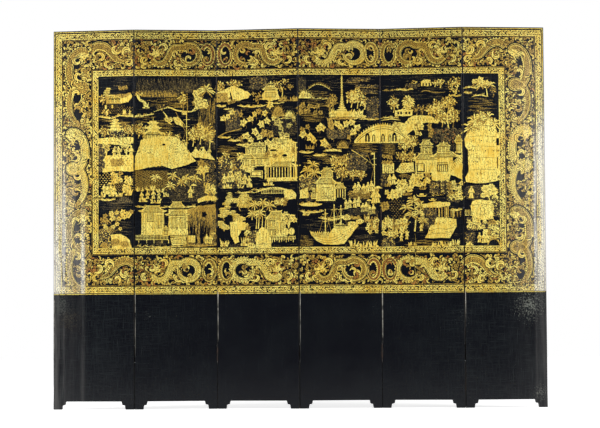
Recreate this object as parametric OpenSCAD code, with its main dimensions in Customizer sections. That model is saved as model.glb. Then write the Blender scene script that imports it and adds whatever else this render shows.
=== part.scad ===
// Folding screen of black lacquered leaves that stands in a shallow zigzag.
// Each leaf is three upright boards, tongued together and held between a top clamp
// and a foot rail with bracket feet, under a thick lacquer ground on both faces.
// Hinges are let into the edges, by turns at the back face and at the front face,
// so that every seam can close until two faces lie together. A bead along the right
// edge of each leaf lies in a hollow of its neighbour, so that no light shows through.
// The width of the screen runs along X, its front faces -Y, and the floor is z = 0.

/* [Screen] */
// Number of leaves
leaves = 6; // [4:2:8]
// Angle by which each leaf is turned from the line of the screen
stand_angle = 7; // [4:0.5:20]

/* [Leaf] */
// Width of one leaf
leaf_w = 453.5; // [420:0.5:520]
// Height from the floor to the top edge
leaf_h = 2100; // [1900:5:2300]
// Thickness over the lacquer on both faces
leaf_t = 22; // [21:0.5:28]
// Radius of the rounded upright arrises
arris_r = 3; // [2:0.5:5]
// Radius of the rounded top arrises
top_arris_r = 5; // [2:0.5:6]
// Gap between two leaves set in line
leaf_gap = 1.2; // [0.8:0.1:2]
// Radius of the bead along the right edge
bead_r = 4.5; // [3.5:0.5:5.5]
// Play of the bead in its neighbour's hollow
bead_play = 0.5; // [0.3:0.1:1]

/* [Lacquer] */
// Thickness of the lacquer ground on each face
lacquer_t = 1; // [0.6:0.1:1.6]
// Height above the floor at which the lacquer stops on the feet
lacquer_stop = 2; // [1:0.5:6]

/* [Boards] */
// Width of the left board that shows between the joints
left_board_w = 184; // [120:1:200]
// Width of the right board that shows between the joints
right_board_w = 130; // [100:1:180]
// Height of the top clamp
clamp_h = 70; // [50:1:100]
// Height from the floor to the shoulder of the foot rail
rail_h = 150; // [110:1:200]
// Thickness of each tongue
tongue_t = 6; // [4:0.5:8]
// Length of each tongue
tongue_l = 10; // [6:0.5:14]
// Play round a tongue in its groove
tongue_play = 0.1; // [0.05:0.05:0.3]
// Distance from the edge of the leaf at which the end grooves stop
groove_stop = 20; // [16:1:30]

/* [Feet] */
// Height of the lower edge of the apron above the floor
apron_z = 44; // [38:1:60]
// Width of a foot at the floor
foot_w = 47; // [35:1:56]
// Extra width of the foot where it meets the cove
foot_flare = 3.5; // [0:0.5:5]
// Cut at the inner toe of the foot
toe_cut = 2; // [0.5:0.5:4]
// Drop of the bracket ear below the apron
ear_h = 20; // [14:1:26]
// Reach of the ear from the edge of the leaf
ear_reach = 66; // [62:1:80]
// Extra reach of the ear where it meets the apron
ear_flare = 3; // [0.5:0.5:6]
// Radius of the round under the ear
ear_r = 8; // [3:0.5:12]
// Radius of the cove between the foot and the ear
cove_r = 4; // [1:0.5:6]

/* [Hinges] */
// Outer diameter of a knuckle
knuckle_d = 7; // [6.5:0.1:9]
// Clearance round a knuckle in the notches of the leaves
knuckle_clear = 0.3; // [0.2:0.05:0.8]
// Number of knuckles in a hinge
knuckles = 5; // [3:2:7]
// Play between one knuckle and the next
knuckle_play = 0.3; // [0.1:0.05:0.6]
// Gap between two faces folded together
fold_gap = 1.5; // [1:0.1:3]
// Height of a hinge plate
plate_h = 90; // [70:1:120]
// Width of a hinge plate across the edge of the leaf
plate_w = 16; // [14:0.5:17]
// Thickness of a hinge plate
plate_t = 1.5; // [1.2:0.1:1.8]
// Play round a plate in its recess
recess_play = 0.1; // [0.05:0.05:0.3]
// Length by which the bead stops short of a hinge
bead_break = 3; // [2:0.5:6]
// Height of the foot of the lowest hinge above the floor
low_hinge_z = 260; // [220:5:400]
// Distance from the top edge down to the head of the highest hinge
high_hinge_drop = 260; // [120:5:400]

/* [Pins and nails] */
// Diameter of a hinge pin
pin_d = 4; // [3:0.1:4.5]
// Radial clearance of a pin in its knuckles
pin_play = 0.05; // [0.02:0.01:0.1]
// Diameter of the head of a pin
pin_head_d = 6.4; // [5:0.1:6.5]
// Height of the head of a pin
pin_head_h = 2.4; // [1.5:0.1:4]
// Length of the pin below the lowest knuckle
pin_tail = 2; // [0.5:0.5:4]
// Number of nails in a plate
plate_nails = 4; // [2:1:5]
// Diameter of a nail
nail_d = 2; // [1.6:0.1:2.4]
// Diameter of the sunk head of a nail
nail_head_d = 5; // [4:0.1:6]
// Length of a nail
nail_l = 16; // [10:1:20]
// Clearance round a nail
nail_play = 0.05; // [0.02:0.01:0.1]
// Distance of the nails to each side of the middle of the plate
nail_stagger = 3; // [0:0.5:4]

/* [Hidden] */
$fn = 64;
leaf_pieces = [
    "left_board", "middle_board", "right_board", "top_clamp", "foot_rail",
    "front_lacquer", "back_lacquer", "hinge_plates", "hinge_nails"
];

lacquer_colour = "#17191d";
wood_colour = "#3a2a1e";
iron_colour = "#2b2a29";
pin_colour = "#4a463f";

// The hinge axis lies in the middle of the seam, just outside the face it closes
axis_out = fold_gap / 2;
axis_span = leaf_w + leaf_gap;
axis_depth = leaf_t + 2 * axis_out;
// Steps from one hinge axis to the next, along and across the line of the screen
seam_pitch = axis_span * cos(stand_angle) + axis_depth * sin(stand_angle);
seam_rise = axis_span * sin(stand_angle) - axis_depth * cos(stand_angle);

boards_top = leaf_h - clamp_h;
middle_left = left_board_w;
middle_right = leaf_w - right_board_w;
ear_z = apron_z - ear_h;

// A plate starts just behind the lacquer on the side of its hinge axis
plate_in = lacquer_t + recess_play;
knuckle_pitch = (plate_h + knuckle_play) / knuckles;
knuckle_h = knuckle_pitch - knuckle_play;
high_hinge_z = leaf_h - high_hinge_drop - plate_h;
hinge_zs = [low_hinge_z, (low_hinge_z + high_hinge_z) / 2, high_hinge_z];
bore_r = pin_d / 2 + pin_play;
notch_r = knuckle_d / 2 + knuckle_clear;
notch_drop = pin_tail + knuckle_clear;
notch_h = notch_drop + plate_h + pin_head_h + knuckle_clear;
nail_sink = 0.1;
nail_cone_l = plate_t - nail_sink;
nail_point_l = 2 * nail_d;
head_round = pin_head_h / 3;
tail_round = pin_d / 8;
past = 1;

// Seams are counted from the left. The ends of the screen are taken as seams too,
// so that every leaf lies between two: even ones hinge in front, odd ones behind.
function hinged_in_front(s) = s % 2 == 0;
function seam_x(s) = (s - leaves / 2) * seam_pitch;
function seam_y(s) = (hinged_in_front(s) ? 1 : -1) * seam_rise / 2;
function axis_v(s) = hinged_in_front(s) ? -axis_out : leaf_t + axis_out;
// The edges of leaf i that carry hinges: 0 is the left one and 1 is the right one
function hinged_edges(i) = [if (i > 1) 0, if (i < leaves) 1];

// Sets a leaf, drawn with its lower left front corner at the origin, in the zigzag
module place_leaf(i) {
    translate([seam_x(i - 1), seam_y(i - 1), 0])
        rotate([0, 0, i % 2 == 0 ? stand_angle : -stand_angle])
            translate([leaf_gap / 2, -axis_v(i - 1), 0])
                children();
}

module mirror_if(wanted, direction) {
    if (wanted) mirror(direction) children();
    else children();
}

// Repeats a hinge part on one edge of leaf i. It is drawn with x outwards from the
// edge, y inwards from the face that the hinge closes, and z up from the plate's foot.
module at_hinges(i, edge) {
    in_front = hinged_in_front(i - 1 + edge);
    translate([edge * leaf_w, in_front ? 0 : leaf_t, 0])
        mirror_if(edge == 0, [1, 0, 0])
            mirror_if(!in_front, [0, 1, 0])
                for (z = hinge_zs) translate([0, 0, z]) children();
}

// Outline of leaf i from above: rounded upright arrises, a bead on the right edge
// where a neighbour follows, and a hollow in the left edge where one comes before
module plan_outline(i, hollow) {
    difference() {
        union() {
            translate([arris_r, 0]) square([leaf_w - 2 * arris_r, leaf_t]);
            translate([0, arris_r]) square([leaf_w, leaf_t - 2 * arris_r]);
            for (u = [arris_r, leaf_w - arris_r], v = [arris_r, leaf_t - arris_r])
                translate([u, v]) circle(r = arris_r);
            if (i < leaves) translate([leaf_w, leaf_t / 2]) circle(r = bead_r);
        }
        if (hollow && i > 1) translate([-leaf_gap, leaf_t / 2]) circle(r = bead_r + bead_play);
    }
}

// Outline of a leaf from its edge, with its top arrises rounded
module edge_outline() {
    square([leaf_t, leaf_h - top_arris_r]);
    translate([top_arris_r, 0]) square([leaf_t - 2 * top_arris_r, leaf_h]);
    for (v = [top_arris_r, leaf_t - top_arris_r])
        translate([v, leaf_h - top_arris_r]) circle(r = top_arris_r);
}

// Left foot and its bracket ear from the front: foot, cove, rounded ear and flare
module bracket_foot() {
    neck_w = foot_w + foot_flare;
    polygon([
        [0, 0], [foot_w - toe_cut, 0], [foot_w, toe_cut], [neck_w, ear_z], [0, ear_z]
    ]);
    difference() {
        translate([neck_w - cove_r, ear_z - cove_r]) square([2 * cove_r, cove_r]);
        translate([neck_w + cove_r, ear_z - cove_r]) circle(r = cove_r);
        polygon([[foot_w - 2 * cove_r, 0], [foot_w, 0], [neck_w, ear_z], [foot_w - 2 * cove_r, ear_z]]);
    }
    translate([0, ear_z]) square([ear_reach - ear_r, ear_h]);
    translate([0, ear_z + ear_r]) square([ear_reach, ear_h - ear_r]);
    translate([ear_reach - ear_r, ear_z + ear_r]) circle(r = ear_r);
    polygon([
        [foot_w, ear_z + ear_r], [ear_reach, ear_z + ear_r],
        [ear_reach + ear_flare, apron_z], [foot_w, apron_z]
    ]);
}

// Outline of a leaf from the front, with the apron cut between its two feet.
// The strip beside the right foot leaves room for the bead of the right edge.
module front_outline() {
    translate([0, apron_z]) square([leaf_w, leaf_h - apron_z]);
    bracket_foot();
    translate([leaf_w, 0]) mirror([1, 0]) bracket_foot();
    translate([leaf_w - past, lacquer_stop]) square([past + bead_r, leaf_h - lacquer_stop]);
}

// The part of leaf i between two depths and two heights
module leaf_slice(i, v0, v1, z0, z1) {
    intersection() {
        translate([0, v1, 0]) rotate([90, 0, 0]) linear_extrude(v1 - v0) front_outline();
        translate([0, 0, z0]) linear_extrude(z1 - z0) plan_outline(i, true);
        if (z1 > leaf_h - top_arris_r)
            rotate([90, 0, 90]) linear_extrude(leaf_w + bead_r) edge_outline();
    }
}

// A tongue or groove on the middle plane of the leaf, with play on every side of it
module tongue(u0, u1, z0, z1, play) {
    translate([u0 - play, (leaf_t - tongue_t) / 2 - play, z0 - play])
        cube([u1 - u0 + 2 * play, tongue_t + 2 * play, z1 - z0 + 2 * play]);
}

// Tongues on both ends of a board that spans u0 to u1
module end_tongues(u0, u1) {
    tongue(max(u0, groove_stop), min(u1, leaf_w - groove_stop), rail_h - tongue_l, rail_h, 0);
    tongue(max(u0, groove_stop), min(u1, leaf_w - groove_stop), boards_top, boards_top + tongue_l, 0);
}

// An upright board of leaf i from the foot rail to the top clamp, with its end tongues
module board(i, u0, u1) {
    intersection() {
        translate([0, 0, rail_h]) linear_extrude(boards_top - rail_h) plan_outline(i, false);
        translate([u0, lacquer_t, rail_h])
            cube([u1 - u0, leaf_t - 2 * lacquer_t, boards_top - rail_h]);
    }
    end_tongues(u0, u1);
}

// Tongue along the right edge of the board that ends at u
module edge_tongue(u) {
    tongue(u - past, u + tongue_l, rail_h, boards_top, 0);
}

// Groove along the left edge of the board that starts at u
module edge_groove(u) {
    tongue(u - past, u + tongue_l, rail_h - 2 * tongue_l, boards_top + 2 * tongue_l, tongue_play);
}

// Hollow in the left edge of a board. It stops at the hinges, where the plates are fixed.
module board_hollow(i) {
    difference() {
        translate([-leaf_gap, leaf_t / 2, 0]) cylinder(r = bead_r + bead_play, h = leaf_h);
        at_hinges(i, 0) translate([-leaf_w / 2, 0, -bead_break / 2])
            cube([leaf_w, leaf_t, plate_h + bead_break]);
    }
}

// Room for the knuckles and the pin of a hinge in the arris of a leaf
module knuckle_notch() {
    translate([leaf_gap / 2, -axis_out, -notch_drop]) cylinder(r = notch_r, h = notch_h);
}

// Recess for a hinge plate and the holes for its nails, cut in the edge of a board,
// with the bead taken away a little past both ends of the plate
module hinge_cut() {
    translate([-plate_t, lacquer_t, -recess_play])
        cube([plate_t + past, plate_w + 2 * recess_play, plate_h + 2 * recess_play]);
    translate([0, leaf_t / 2 - bead_r - past, -bead_break])
        cube([bead_r + past, 2 * (bead_r + past), plate_h + 2 * bead_break]);
    knuckle_notch();
    plate_nails(nail_play);
}

module left_board(i) {
    color(wood_colour) place_leaf(i) difference() {
        union() {
            board(i, 0, middle_left);
            edge_tongue(middle_left);
        }
        if (i > 1) board_hollow(i);
        if (i > 1) at_hinges(i, 0) hinge_cut();
    }
}

module middle_board(i) {
    color(wood_colour) place_leaf(i) difference() {
        union() {
            board(i, middle_left, middle_right);
            edge_tongue(middle_right);
        }
        edge_groove(middle_left);
    }
}

module right_board(i) {
    color(wood_colour) place_leaf(i) difference() {
        board(i, middle_right, leaf_w + bead_r);
        edge_groove(middle_right);
        if (i < leaves) at_hinges(i, 1) hinge_cut();
    }
}

module top_clamp(i) {
    color(wood_colour) place_leaf(i) difference() {
        leaf_slice(i, lacquer_t, leaf_t - lacquer_t, boards_top, leaf_h);
        tongue(groove_stop, leaf_w - groove_stop, boards_top - past, boards_top + tongue_l, tongue_play);
    }
}

module foot_rail(i) {
    color(wood_colour) place_leaf(i) difference() {
        leaf_slice(i, lacquer_t, leaf_t - lacquer_t, 0, rail_h);
        tongue(groove_stop, leaf_w - groove_stop, rail_h - tongue_l, rail_h + past, tongue_play);
    }
}

// The lacquer ground of one face, notched for the knuckles of its hinges
module lacquer_face(i, v0) {
    color(lacquer_colour) place_leaf(i) difference() {
        leaf_slice(i, v0, v0 + lacquer_t, lacquer_stop, leaf_h);
        for (edge = hinged_edges(i)) at_hinges(i, edge) knuckle_notch();
    }
}

module front_lacquer(i) {
    lacquer_face(i, 0);
}

module back_lacquer(i) {
    lacquer_face(i, leaf_t - lacquer_t);
}

// A nail pointing inwards, its head just under the plate's face, grown by play
module nail(play) {
    rotate([0, -90, 0]) rotate_extrude() polygon([
        [0, nail_sink - play],
        [nail_head_d / 2 + play, nail_sink - play],
        [nail_d / 2 + play, nail_sink + nail_cone_l],
        [nail_d / 2 + play, nail_l - nail_point_l],
        [0, nail_l + play]
    ]);
}

// The nails of one plate, spread over its height to each side of its middle by turns
module plate_nails(play) {
    for (n = [0:plate_nails - 1])
        translate([
            0,
            plate_in + plate_w / 2 + (n % 2 == 0 ? nail_stagger : -nail_stagger),
            plate_h * (n + 0.5) / plate_nails
        ]) nail(play);
}

// Half a hinge: a plate with every other knuckle, cut back round its partner's knuckles
module hinge_half(first) {
    difference() {
        union() {
            difference() {
                translate([-plate_t, plate_in, 0]) cube([plate_t, plate_w, plate_h]);
                for (k = [1 - first:2:knuckles - 1])
                    translate([leaf_gap / 2, -axis_out, k * knuckle_pitch - knuckle_play])
                        cylinder(r = notch_r, h = knuckle_h + 2 * knuckle_play);
            }
            for (k = [first:2:knuckles - 1])
                translate([leaf_gap / 2, -axis_out, k * knuckle_pitch])
                    cylinder(d = knuckle_d, h = knuckle_h);
        }
        translate([leaf_gap / 2, -axis_out, -past]) cylinder(r = bore_r, h = plate_h + 2 * past);
        plate_nails(nail_play);
    }
}

module hinge_plates(i) {
    color(iron_colour) place_leaf(i)
        for (edge = hinged_edges(i)) at_hinges(i, edge) hinge_half(1 - edge);
}

module hinge_nails(i) {
    color(iron_colour) place_leaf(i)
        for (edge = hinged_edges(i)) at_hinges(i, edge) plate_nails(0);
}

// A pin that hangs by its head on the top knuckle
module hinge_pin() {
    translate([leaf_gap / 2, -axis_out, 0]) rotate_extrude() polygon([
        [0, -pin_tail],
        [pin_d / 2 - tail_round, -pin_tail],
        [pin_d / 2, tail_round - pin_tail],
        [pin_d / 2, plate_h],
        [pin_head_d / 2, plate_h],
        [pin_head_d / 2, plate_h + pin_head_h - head_round],
        [pin_head_d / 2 - head_round, plate_h + pin_head_h],
        [0, plate_h + pin_head_h]
    ]);
}

module hinge_pins(s) {
    color(pin_colour) place_leaf(s) at_hinges(s, 1) hinge_pin();
}

for (i = [1:leaves]) {
    left_board(i);
    middle_board(i);
    right_board(i);
    top_clamp(i);
    foot_rail(i);
    front_lacquer(i);
    back_lacquer(i);
    hinge_plates(i);
    hinge_nails(i);
}
for (s = [1:leaves - 1]) {
    hinge_pins(s);
}
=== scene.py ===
import math
import random

import bpy
import numpy
from mathutils import Euler, Matrix, Vector
from mathutils.geometry import delaunay_2d_cdt


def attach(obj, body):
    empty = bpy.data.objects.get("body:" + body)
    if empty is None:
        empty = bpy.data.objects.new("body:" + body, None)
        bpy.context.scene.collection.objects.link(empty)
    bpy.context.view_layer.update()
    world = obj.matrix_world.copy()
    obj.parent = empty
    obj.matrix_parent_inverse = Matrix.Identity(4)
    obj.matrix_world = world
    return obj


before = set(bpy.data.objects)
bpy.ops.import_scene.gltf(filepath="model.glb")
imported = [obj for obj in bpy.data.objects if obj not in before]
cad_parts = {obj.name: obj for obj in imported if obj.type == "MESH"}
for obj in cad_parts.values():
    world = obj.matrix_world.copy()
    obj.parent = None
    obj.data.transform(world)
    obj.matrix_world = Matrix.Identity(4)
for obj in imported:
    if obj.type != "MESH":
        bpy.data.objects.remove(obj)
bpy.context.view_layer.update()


# ---- Boards of the leaves ----
# The real leaves are upright softwood boards, held flat by a clamp above and a rail below.
# Their edges have the same black lacquer as the faces, brushed thin and worn to the wood.

def linear(code):
    """A colour written as sRGB hex, in the linear values that Blender takes."""
    parts = (int(code[k:k + 2], 16) / 255 for k in (1, 3, 5))
    return (*(p / 12.92 if p <= 0.04045 else ((p + 0.055) / 1.055) ** 2.4 for p in parts), 1.0)


def new_material(name):
    material = bpy.data.materials.new(name)
    material.use_nodes = True
    material.node_tree.nodes.clear()
    return material


def add(material, kind, inputs, **settings):
    """Adds a node. Each input takes a value, a node's output, or a node for its first output."""
    node = material.node_tree.nodes.new(f"ShaderNode{kind}")
    for name, value in settings.items():
        setattr(node, name, value)
    for socket, value in inputs.items():
        if isinstance(value, bpy.types.Node):
            value = value.outputs[0]
        if isinstance(value, bpy.types.NodeSocket):
            material.node_tree.links.new(value, node.inputs[socket])
        else:
            node.inputs[socket].default_value = value
    return node


def repeat(size):
    """The scale of a pattern that repeats every so many millimetres."""
    return 1000 / size


def paint(nodes, material):
    """Gives CAD nodes one material in place of what they came with."""
    for node in nodes:
        node.data.materials.clear()
        node.data.materials.append(material)


# Black lacquer brushed on pine. It gives a satin black edge with brown wood along it where
# handling has rubbed the coat away, and a grey, dusty top.
edge_lacquer = new_material("brushed_black_lacquer_on_pine")
where = add(edge_lacquer, "TexCoord", {})
grain_scale = add(
    edge_lacquer, "Mapping",
    {0: where.outputs["Object"], 3: (repeat(6.25), repeat(6.25), repeat(142.857))}
)
grain = add(edge_lacquer, "TexNoise", {"Vector": grain_scale, "Scale": 1.0, "Detail": 5.0})
patches = add(
    edge_lacquer, "TexNoise",
    {"Vector": where.outputs["Object"], "Scale": repeat(111.111), "Detail": 6.0}
)
both = add(edge_lacquer, "Math", {0: grain, 1: patches}, operation="MULTIPLY")
rubbed = add(edge_lacquer, "MapRange", {0: both, 1: 0.31, 2: 0.44})
height = add(edge_lacquer, "SeparateXYZ", {0: where.outputs["Object"]})
top_edge = add(edge_lacquer, "MapRange", {0: height.outputs[2], 1: 2.0975, 2: 2.0993})
wood = add(edge_lacquer, "Mix", {0: grain, 6: linear("#2c2018"), 7: linear("#5d452f")}, data_type="RGBA")
coat = add(edge_lacquer, "Mix", {0: rubbed, 6: linear("#0b0c0e"), 7: wood.outputs[2]}, data_type="RGBA")
dust = add(edge_lacquer, "Mix", {0: patches, 6: linear("#3b3833"), 7: linear("#8a8378")}, data_type="RGBA")
dusted = add(edge_lacquer, "Mix", {0: top_edge, 6: coat.outputs[2], 7: dust.outputs[2]}, data_type="RGBA")
dull = add(edge_lacquer, "MapRange", {0: both, 1: 0.15, 2: 0.4, 3: 0.36, 4: 0.68})
relief = add(edge_lacquer, "Bump", {"Strength": 0.25, "Distance": 0.0008, "Height": grain})
shader = add(edge_lacquer, "BsdfPrincipled", {
    "Base Color": dusted.outputs[2], "Roughness": dull, "Normal": relief,
})
add(edge_lacquer, "OutputMaterial", {0: shader})

boards = [
    node for name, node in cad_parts.items()
    if name.endswith(("_board", "_clamp", "_rail"))
]
paint(boards, edge_lacquer)


# ---- Lacquer coats ----
# The faces of the leaves have a ground of cloth and clay under many thin coats of black
# lacquer, polished by hand. Fronts and backs are finished alike; the gilding comes later.

# Sizes of the leaves in millimetres, and how they stand: each is turned from the line of the
# screen, about hinge axes that lie a little outside its faces. The dado is below the picture.
LEAF_W = 453.5
LEAF_H = 2100.0
LEAF_DEEP = 22.0
LEAF_GAP = 1.2
PITCH = LEAF_W + LEAF_GAP
TURN = math.radians(7.0)
AXIS_OUT = 0.75
AXES_APART = LEAF_DEEP + 2 * AXIS_OUT
SEAM_STEP = (PITCH * math.cos(TURN) + AXES_APART * math.sin(TURN)) / 1000
DADO_TOP = 0.641


def painted_gloss_highlight(material, place):
    """How strong the painted gloss highlight is at a place: pale washes and streaks on the outer sides that
    stand for reflections on the lacquer.
    """
    facing = add(material, "TexCoord", {})
    turned = add(material, "SeparateXYZ", {0: facing.outputs["Normal"]})
    front = add(material, "MapRange", {0: turned.outputs[1], 1: -0.3, 2: -0.6})
    split = add(material, "SeparateXYZ", {0: place})
    highlight_strength = add(material, "Value", {})
    for x, wide, top, full, dense in (
        (-1.40, 0.25, 1.75, 0.72, 1.3),
        (1.36, 0.26, 2.1, 1.6, 0.45),
        (-1.337, 0.03, 1.75, 1.1, 0.6),
        (-1.303, 0.012, 1.45, 0.95, 1.8),
        (-1.197, 0.016, 1.25, 0.9, 1.3),
        (-1.355, 0.035, 0.95, 0.75, 2.2),
        (1.345, 0.045, 1.65, 1.4, 1.6),
        (1.303, 0.010, 1.6, 1.2, 1.4),
    ):
        apart = add(material, "Math", {0: split.outputs["X"], 1: x}, operation="SUBTRACT")
        apart = add(material, "Math", {0: apart}, operation="ABSOLUTE")
        strip = add(material, "MapRange", {0: apart, 1: wide, 2: 0.0, 4: dense})
        low = add(material, "MapRange", {0: split.outputs[2], 1: top, 2: full})
        highlight_strength = add(material, "Math", {0: strip, 1: low, 2: highlight_strength}, operation="MULTIPLY_ADD")
    tall = add(material, "Mapping", {0: place, 3: (repeat(20.8333), repeat(20.8333), repeat(333.333))})
    streaks = add(material, "TexNoise", {"Vector": tall, "Scale": 1.0, "Detail": 6.0, "Roughness": 0.7})
    streaked = add(material, "MapRange", {0: streaks, 1: 0.3, 2: 0.56})
    dado = add(
        material, "MapRange", {0: split.outputs[2], 1: DADO_TOP - 0.004, 2: DADO_TOP, 3: 0.07, 4: 1.0}
    )
    kept = add(material, "Math", {0: streaked, 1: dado}, operation="MULTIPLY")
    seen = add(material, "Math", {0: kept, 1: front}, operation="MULTIPLY")
    return add(material, "Math", {0: highlight_strength, 1: seen}, operation="MULTIPLY")


# Polished black lacquer on cloth. It gives a deep blue-black with a soft gloss in which the cloth shows as
# a faint weave, with a painted sheen towards the outer leaves, pale lines at the seams of the dado that are
# partly wear and partly a painted arris highlight, pale painted gloss highlights on the outer sides, and a
# few scuffs.
black_lacquer = new_material("polished_black_lacquer_on_cloth")
where = add(black_lacquer, "TexCoord", {})
place = where.outputs["Object"]
split = add(black_lacquer, "SeparateXYZ", {0: place})
weave = []
for axis in (0, 2):
    threads = add(
        black_lacquer, "Math", {0: split.outputs[axis], 1: 2 * math.pi * repeat(3.2)},
        operation="MULTIPLY"
    )
    weave.append(add(black_lacquer, "Math", {0: threads}, operation="SINE"))
cloth = add(black_lacquer, "Math", {0: weave[0], 1: weave[1]}, operation="MULTIPLY")
clouds = add(
    black_lacquer, "TexNoise", {"Vector": place, "Scale": repeat(200), "Detail": 7.0, "Roughness": 0.62}
)
grit = add(black_lacquer, "TexNoise", {"Vector": place, "Scale": repeat(4.1667), "Detail": 3.0})
strokes = add(black_lacquer, "Mapping", {0: place, 3: (repeat(2.38095), repeat(2.38095), repeat(200))})
scratches = add(black_lacquer, "TexNoise", {"Vector": strokes, "Scale": 1.0, "Detail": 2.0})
scratched = add(black_lacquer, "MapRange", {0: scratches, 1: 0.66, 2: 0.74})
thin = add(black_lacquer, "MapRange", {0: clouds, 1: 0.42, 2: 0.75})
ground = add(black_lacquer, "Mix", {0: thin, 6: linear("#080a11"), 7: linear("#0d1116")}, data_type="RGBA")

# Threads of the cloth, wide apart and uneven, show paler where the coat is thin; towards the outer leaves
# they are painted paler still, as a sheen.
thread = []
SLUB, THREAD = repeat(71.4286), repeat(2.38095)
for scale in ((SLUB, SLUB, THREAD), (THREAD, THREAD, SLUB)):
    laid = add(black_lacquer, "Mapping", {0: place, 3: scale})
    thread.append(add(black_lacquer, "TexNoise", {"Vector": laid, "Scale": 1.0, "Detail": 2.0}))
linen = add(black_lacquer, "Math", {0: thread[0], 1: thread[1]}, operation="MAXIMUM")
shows = add(black_lacquer, "MapRange", {0: linen, 1: 0.54, 2: 0.72})
outer = add(black_lacquer, "Math", {0: split.outputs["X"]}, operation="ABSOLUTE")
sides = add(black_lacquer, "MapRange", {0: outer, 1: 0.3, 2: 1.2, 3: 0.0, 4: 0.8})
rows = add(black_lacquer, "Math", {0: shows, 1: sides}, operation="MULTIPLY")
weave_and_sheen = add(black_lacquer, "Mix", {0: rows, 6: ground.outputs[2], 7: linear("#262b2c")}, data_type="RGBA")

facing = add(black_lacquer, "SeparateXYZ", {0: where.outputs["Normal"]})
flat = add(black_lacquer, "Math", {0: facing.outputs[1]}, operation="ABSOLUTE")
arris = add(black_lacquer, "MapRange", {0: flat, 1: 0.985, 2: 0.7})
chipped = add(black_lacquer, "Math", {0: arris, 1: grit}, operation="MULTIPLY")
worn = add(black_lacquer, "MapRange", {0: chipped, 1: 0.44, 2: 0.62})
tone = add(black_lacquer, "Mix", {0: worn, 6: weave_and_sheen.outputs[2], 7: linear("#332b24")}, data_type="RGBA")
# The pale lines beside the seams of the dado are partly worn lacquer and partly a painted highlight that
# stands for the light on the arrises.
level = add(black_lacquer, "MapRange", {0: split.outputs[2], 1: 0.28, 2: 0.6})
below = add(black_lacquer, "MapRange", {0: split.outputs[2], 1: 0.66, 2: 0.64})
along = add(black_lacquer, "Math", {0: level, 1: below}, operation="MULTIPLY")
broken = add(
    black_lacquer, "TexNoise",
    {"Vector": place, "Scale": repeat(166.667), "Detail": 6.0, "Roughness": 0.7}
)
seam_patches = add(black_lacquer, "MapRange", {0: broken, 1: 0.44, 2: 0.6})
beside = add(black_lacquer, "Math", {0: split.outputs["X"], 1: SEAM_STEP, 2: 0.0}, operation="WRAP")
lip = add(black_lacquer, "MapRange", {0: beside, 1: 0.0072, 2: 0.006})
seam_wear_and_highlight = add(black_lacquer, "Math", {0: along, 1: lip}, operation="MULTIPLY")
pale = add(black_lacquer, "Math", {0: seam_wear_and_highlight, 1: seam_patches}, operation="MULTIPLY")
scuffs_and_sheen = add(black_lacquer, "Mix", {0: pale, 6: tone.outputs[2], 7: linear("#c4c0b4")}, data_type="RGBA")
# Pale washes and streaks on the outer sides are a painted gloss highlight, mixed into the colour.
painted_sheen = add(black_lacquer, "Math", {0: painted_gloss_highlight(black_lacquer, place), 1: 0.65}, operation="MULTIPLY")
scuffs_and_sheen = add(
    black_lacquer, "Mix", {0: painted_sheen, 6: scuffs_and_sheen.outputs[2], 7: linear("#b4b1ae")}, data_type="RGBA"
)
dust = add(
    black_lacquer, "TexNoise",
    {"Vector": place, "Scale": repeat(6.6667), "Detail": 4.0, "Roughness": 0.7}
)
for x, z, wide, dense, colour in (
    (1.27, 0.56, 0.17, 0.26, "#82857c"),
    (1.33, 0.08, 0.10, 0.24, "#74766e"),
    (-1.28, 0.50, 0.19, 0.26, "#3b362e"),
    (-0.865, 0.34, 0.05, 0.27, "#9b9d96"),
    (-0.835, 0.52, 0.07, 0.2, "#5d605a"),
    (0.90, 0.50, 0.10, 0.22, "#4c504c"),
    (-1.33, 0.57, 0.13, 0.3, "#4b4e4a"),
):
    apart = add(black_lacquer, "VectorMath", {0: place, 1: (x, 0.0, z)}, operation="DISTANCE")
    near = add(black_lacquer, "MapRange", {0: apart.outputs["Value"], 1: wide, 2: 0.0, 4: dense})
    grains = add(black_lacquer, "Math", {0: dust, 1: near}, operation="ADD")
    mark = add(black_lacquer, "MapRange", {0: grains, 1: 0.7, 2: 0.82, 4: 0.8})
    scuffs_and_sheen = add(
        black_lacquer, "Mix", {0: mark, 6: scuffs_and_sheen.outputs[2], 7: linear(colour)}, data_type="RGBA"
    )
gloss = add(black_lacquer, "MapRange", {0: clouds, 1: 0.3, 2: 0.75, 3: 0.16, 4: 0.24})
rougher = add(black_lacquer, "Math", {0: scratched, 1: 0.1, 2: gloss}, operation="MULTIPLY_ADD")
fine = add(black_lacquer, "Math", {0: cloth, 1: 0.4, 2: grit}, operation="MULTIPLY_ADD")
relief = add(black_lacquer, "Bump", {"Strength": 0.3, "Distance": 0.00006, "Height": fine})
shader = add(black_lacquer, "BsdfPrincipled", {
    "Base Color": scuffs_and_sheen.outputs[2], "Roughness": rougher, "Normal": relief,
    "Specular IOR Level": 0.22,
})
add(black_lacquer, "OutputMaterial", {0: shader})

coats = [node for name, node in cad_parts.items() if name.endswith("_lacquer")]
paint(coats, black_lacquer)


# ---- Hinges ----
# Each seam has three pairs of forged iron plates, let into the edges and nailed, with a pin
# through their knuckles.

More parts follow.
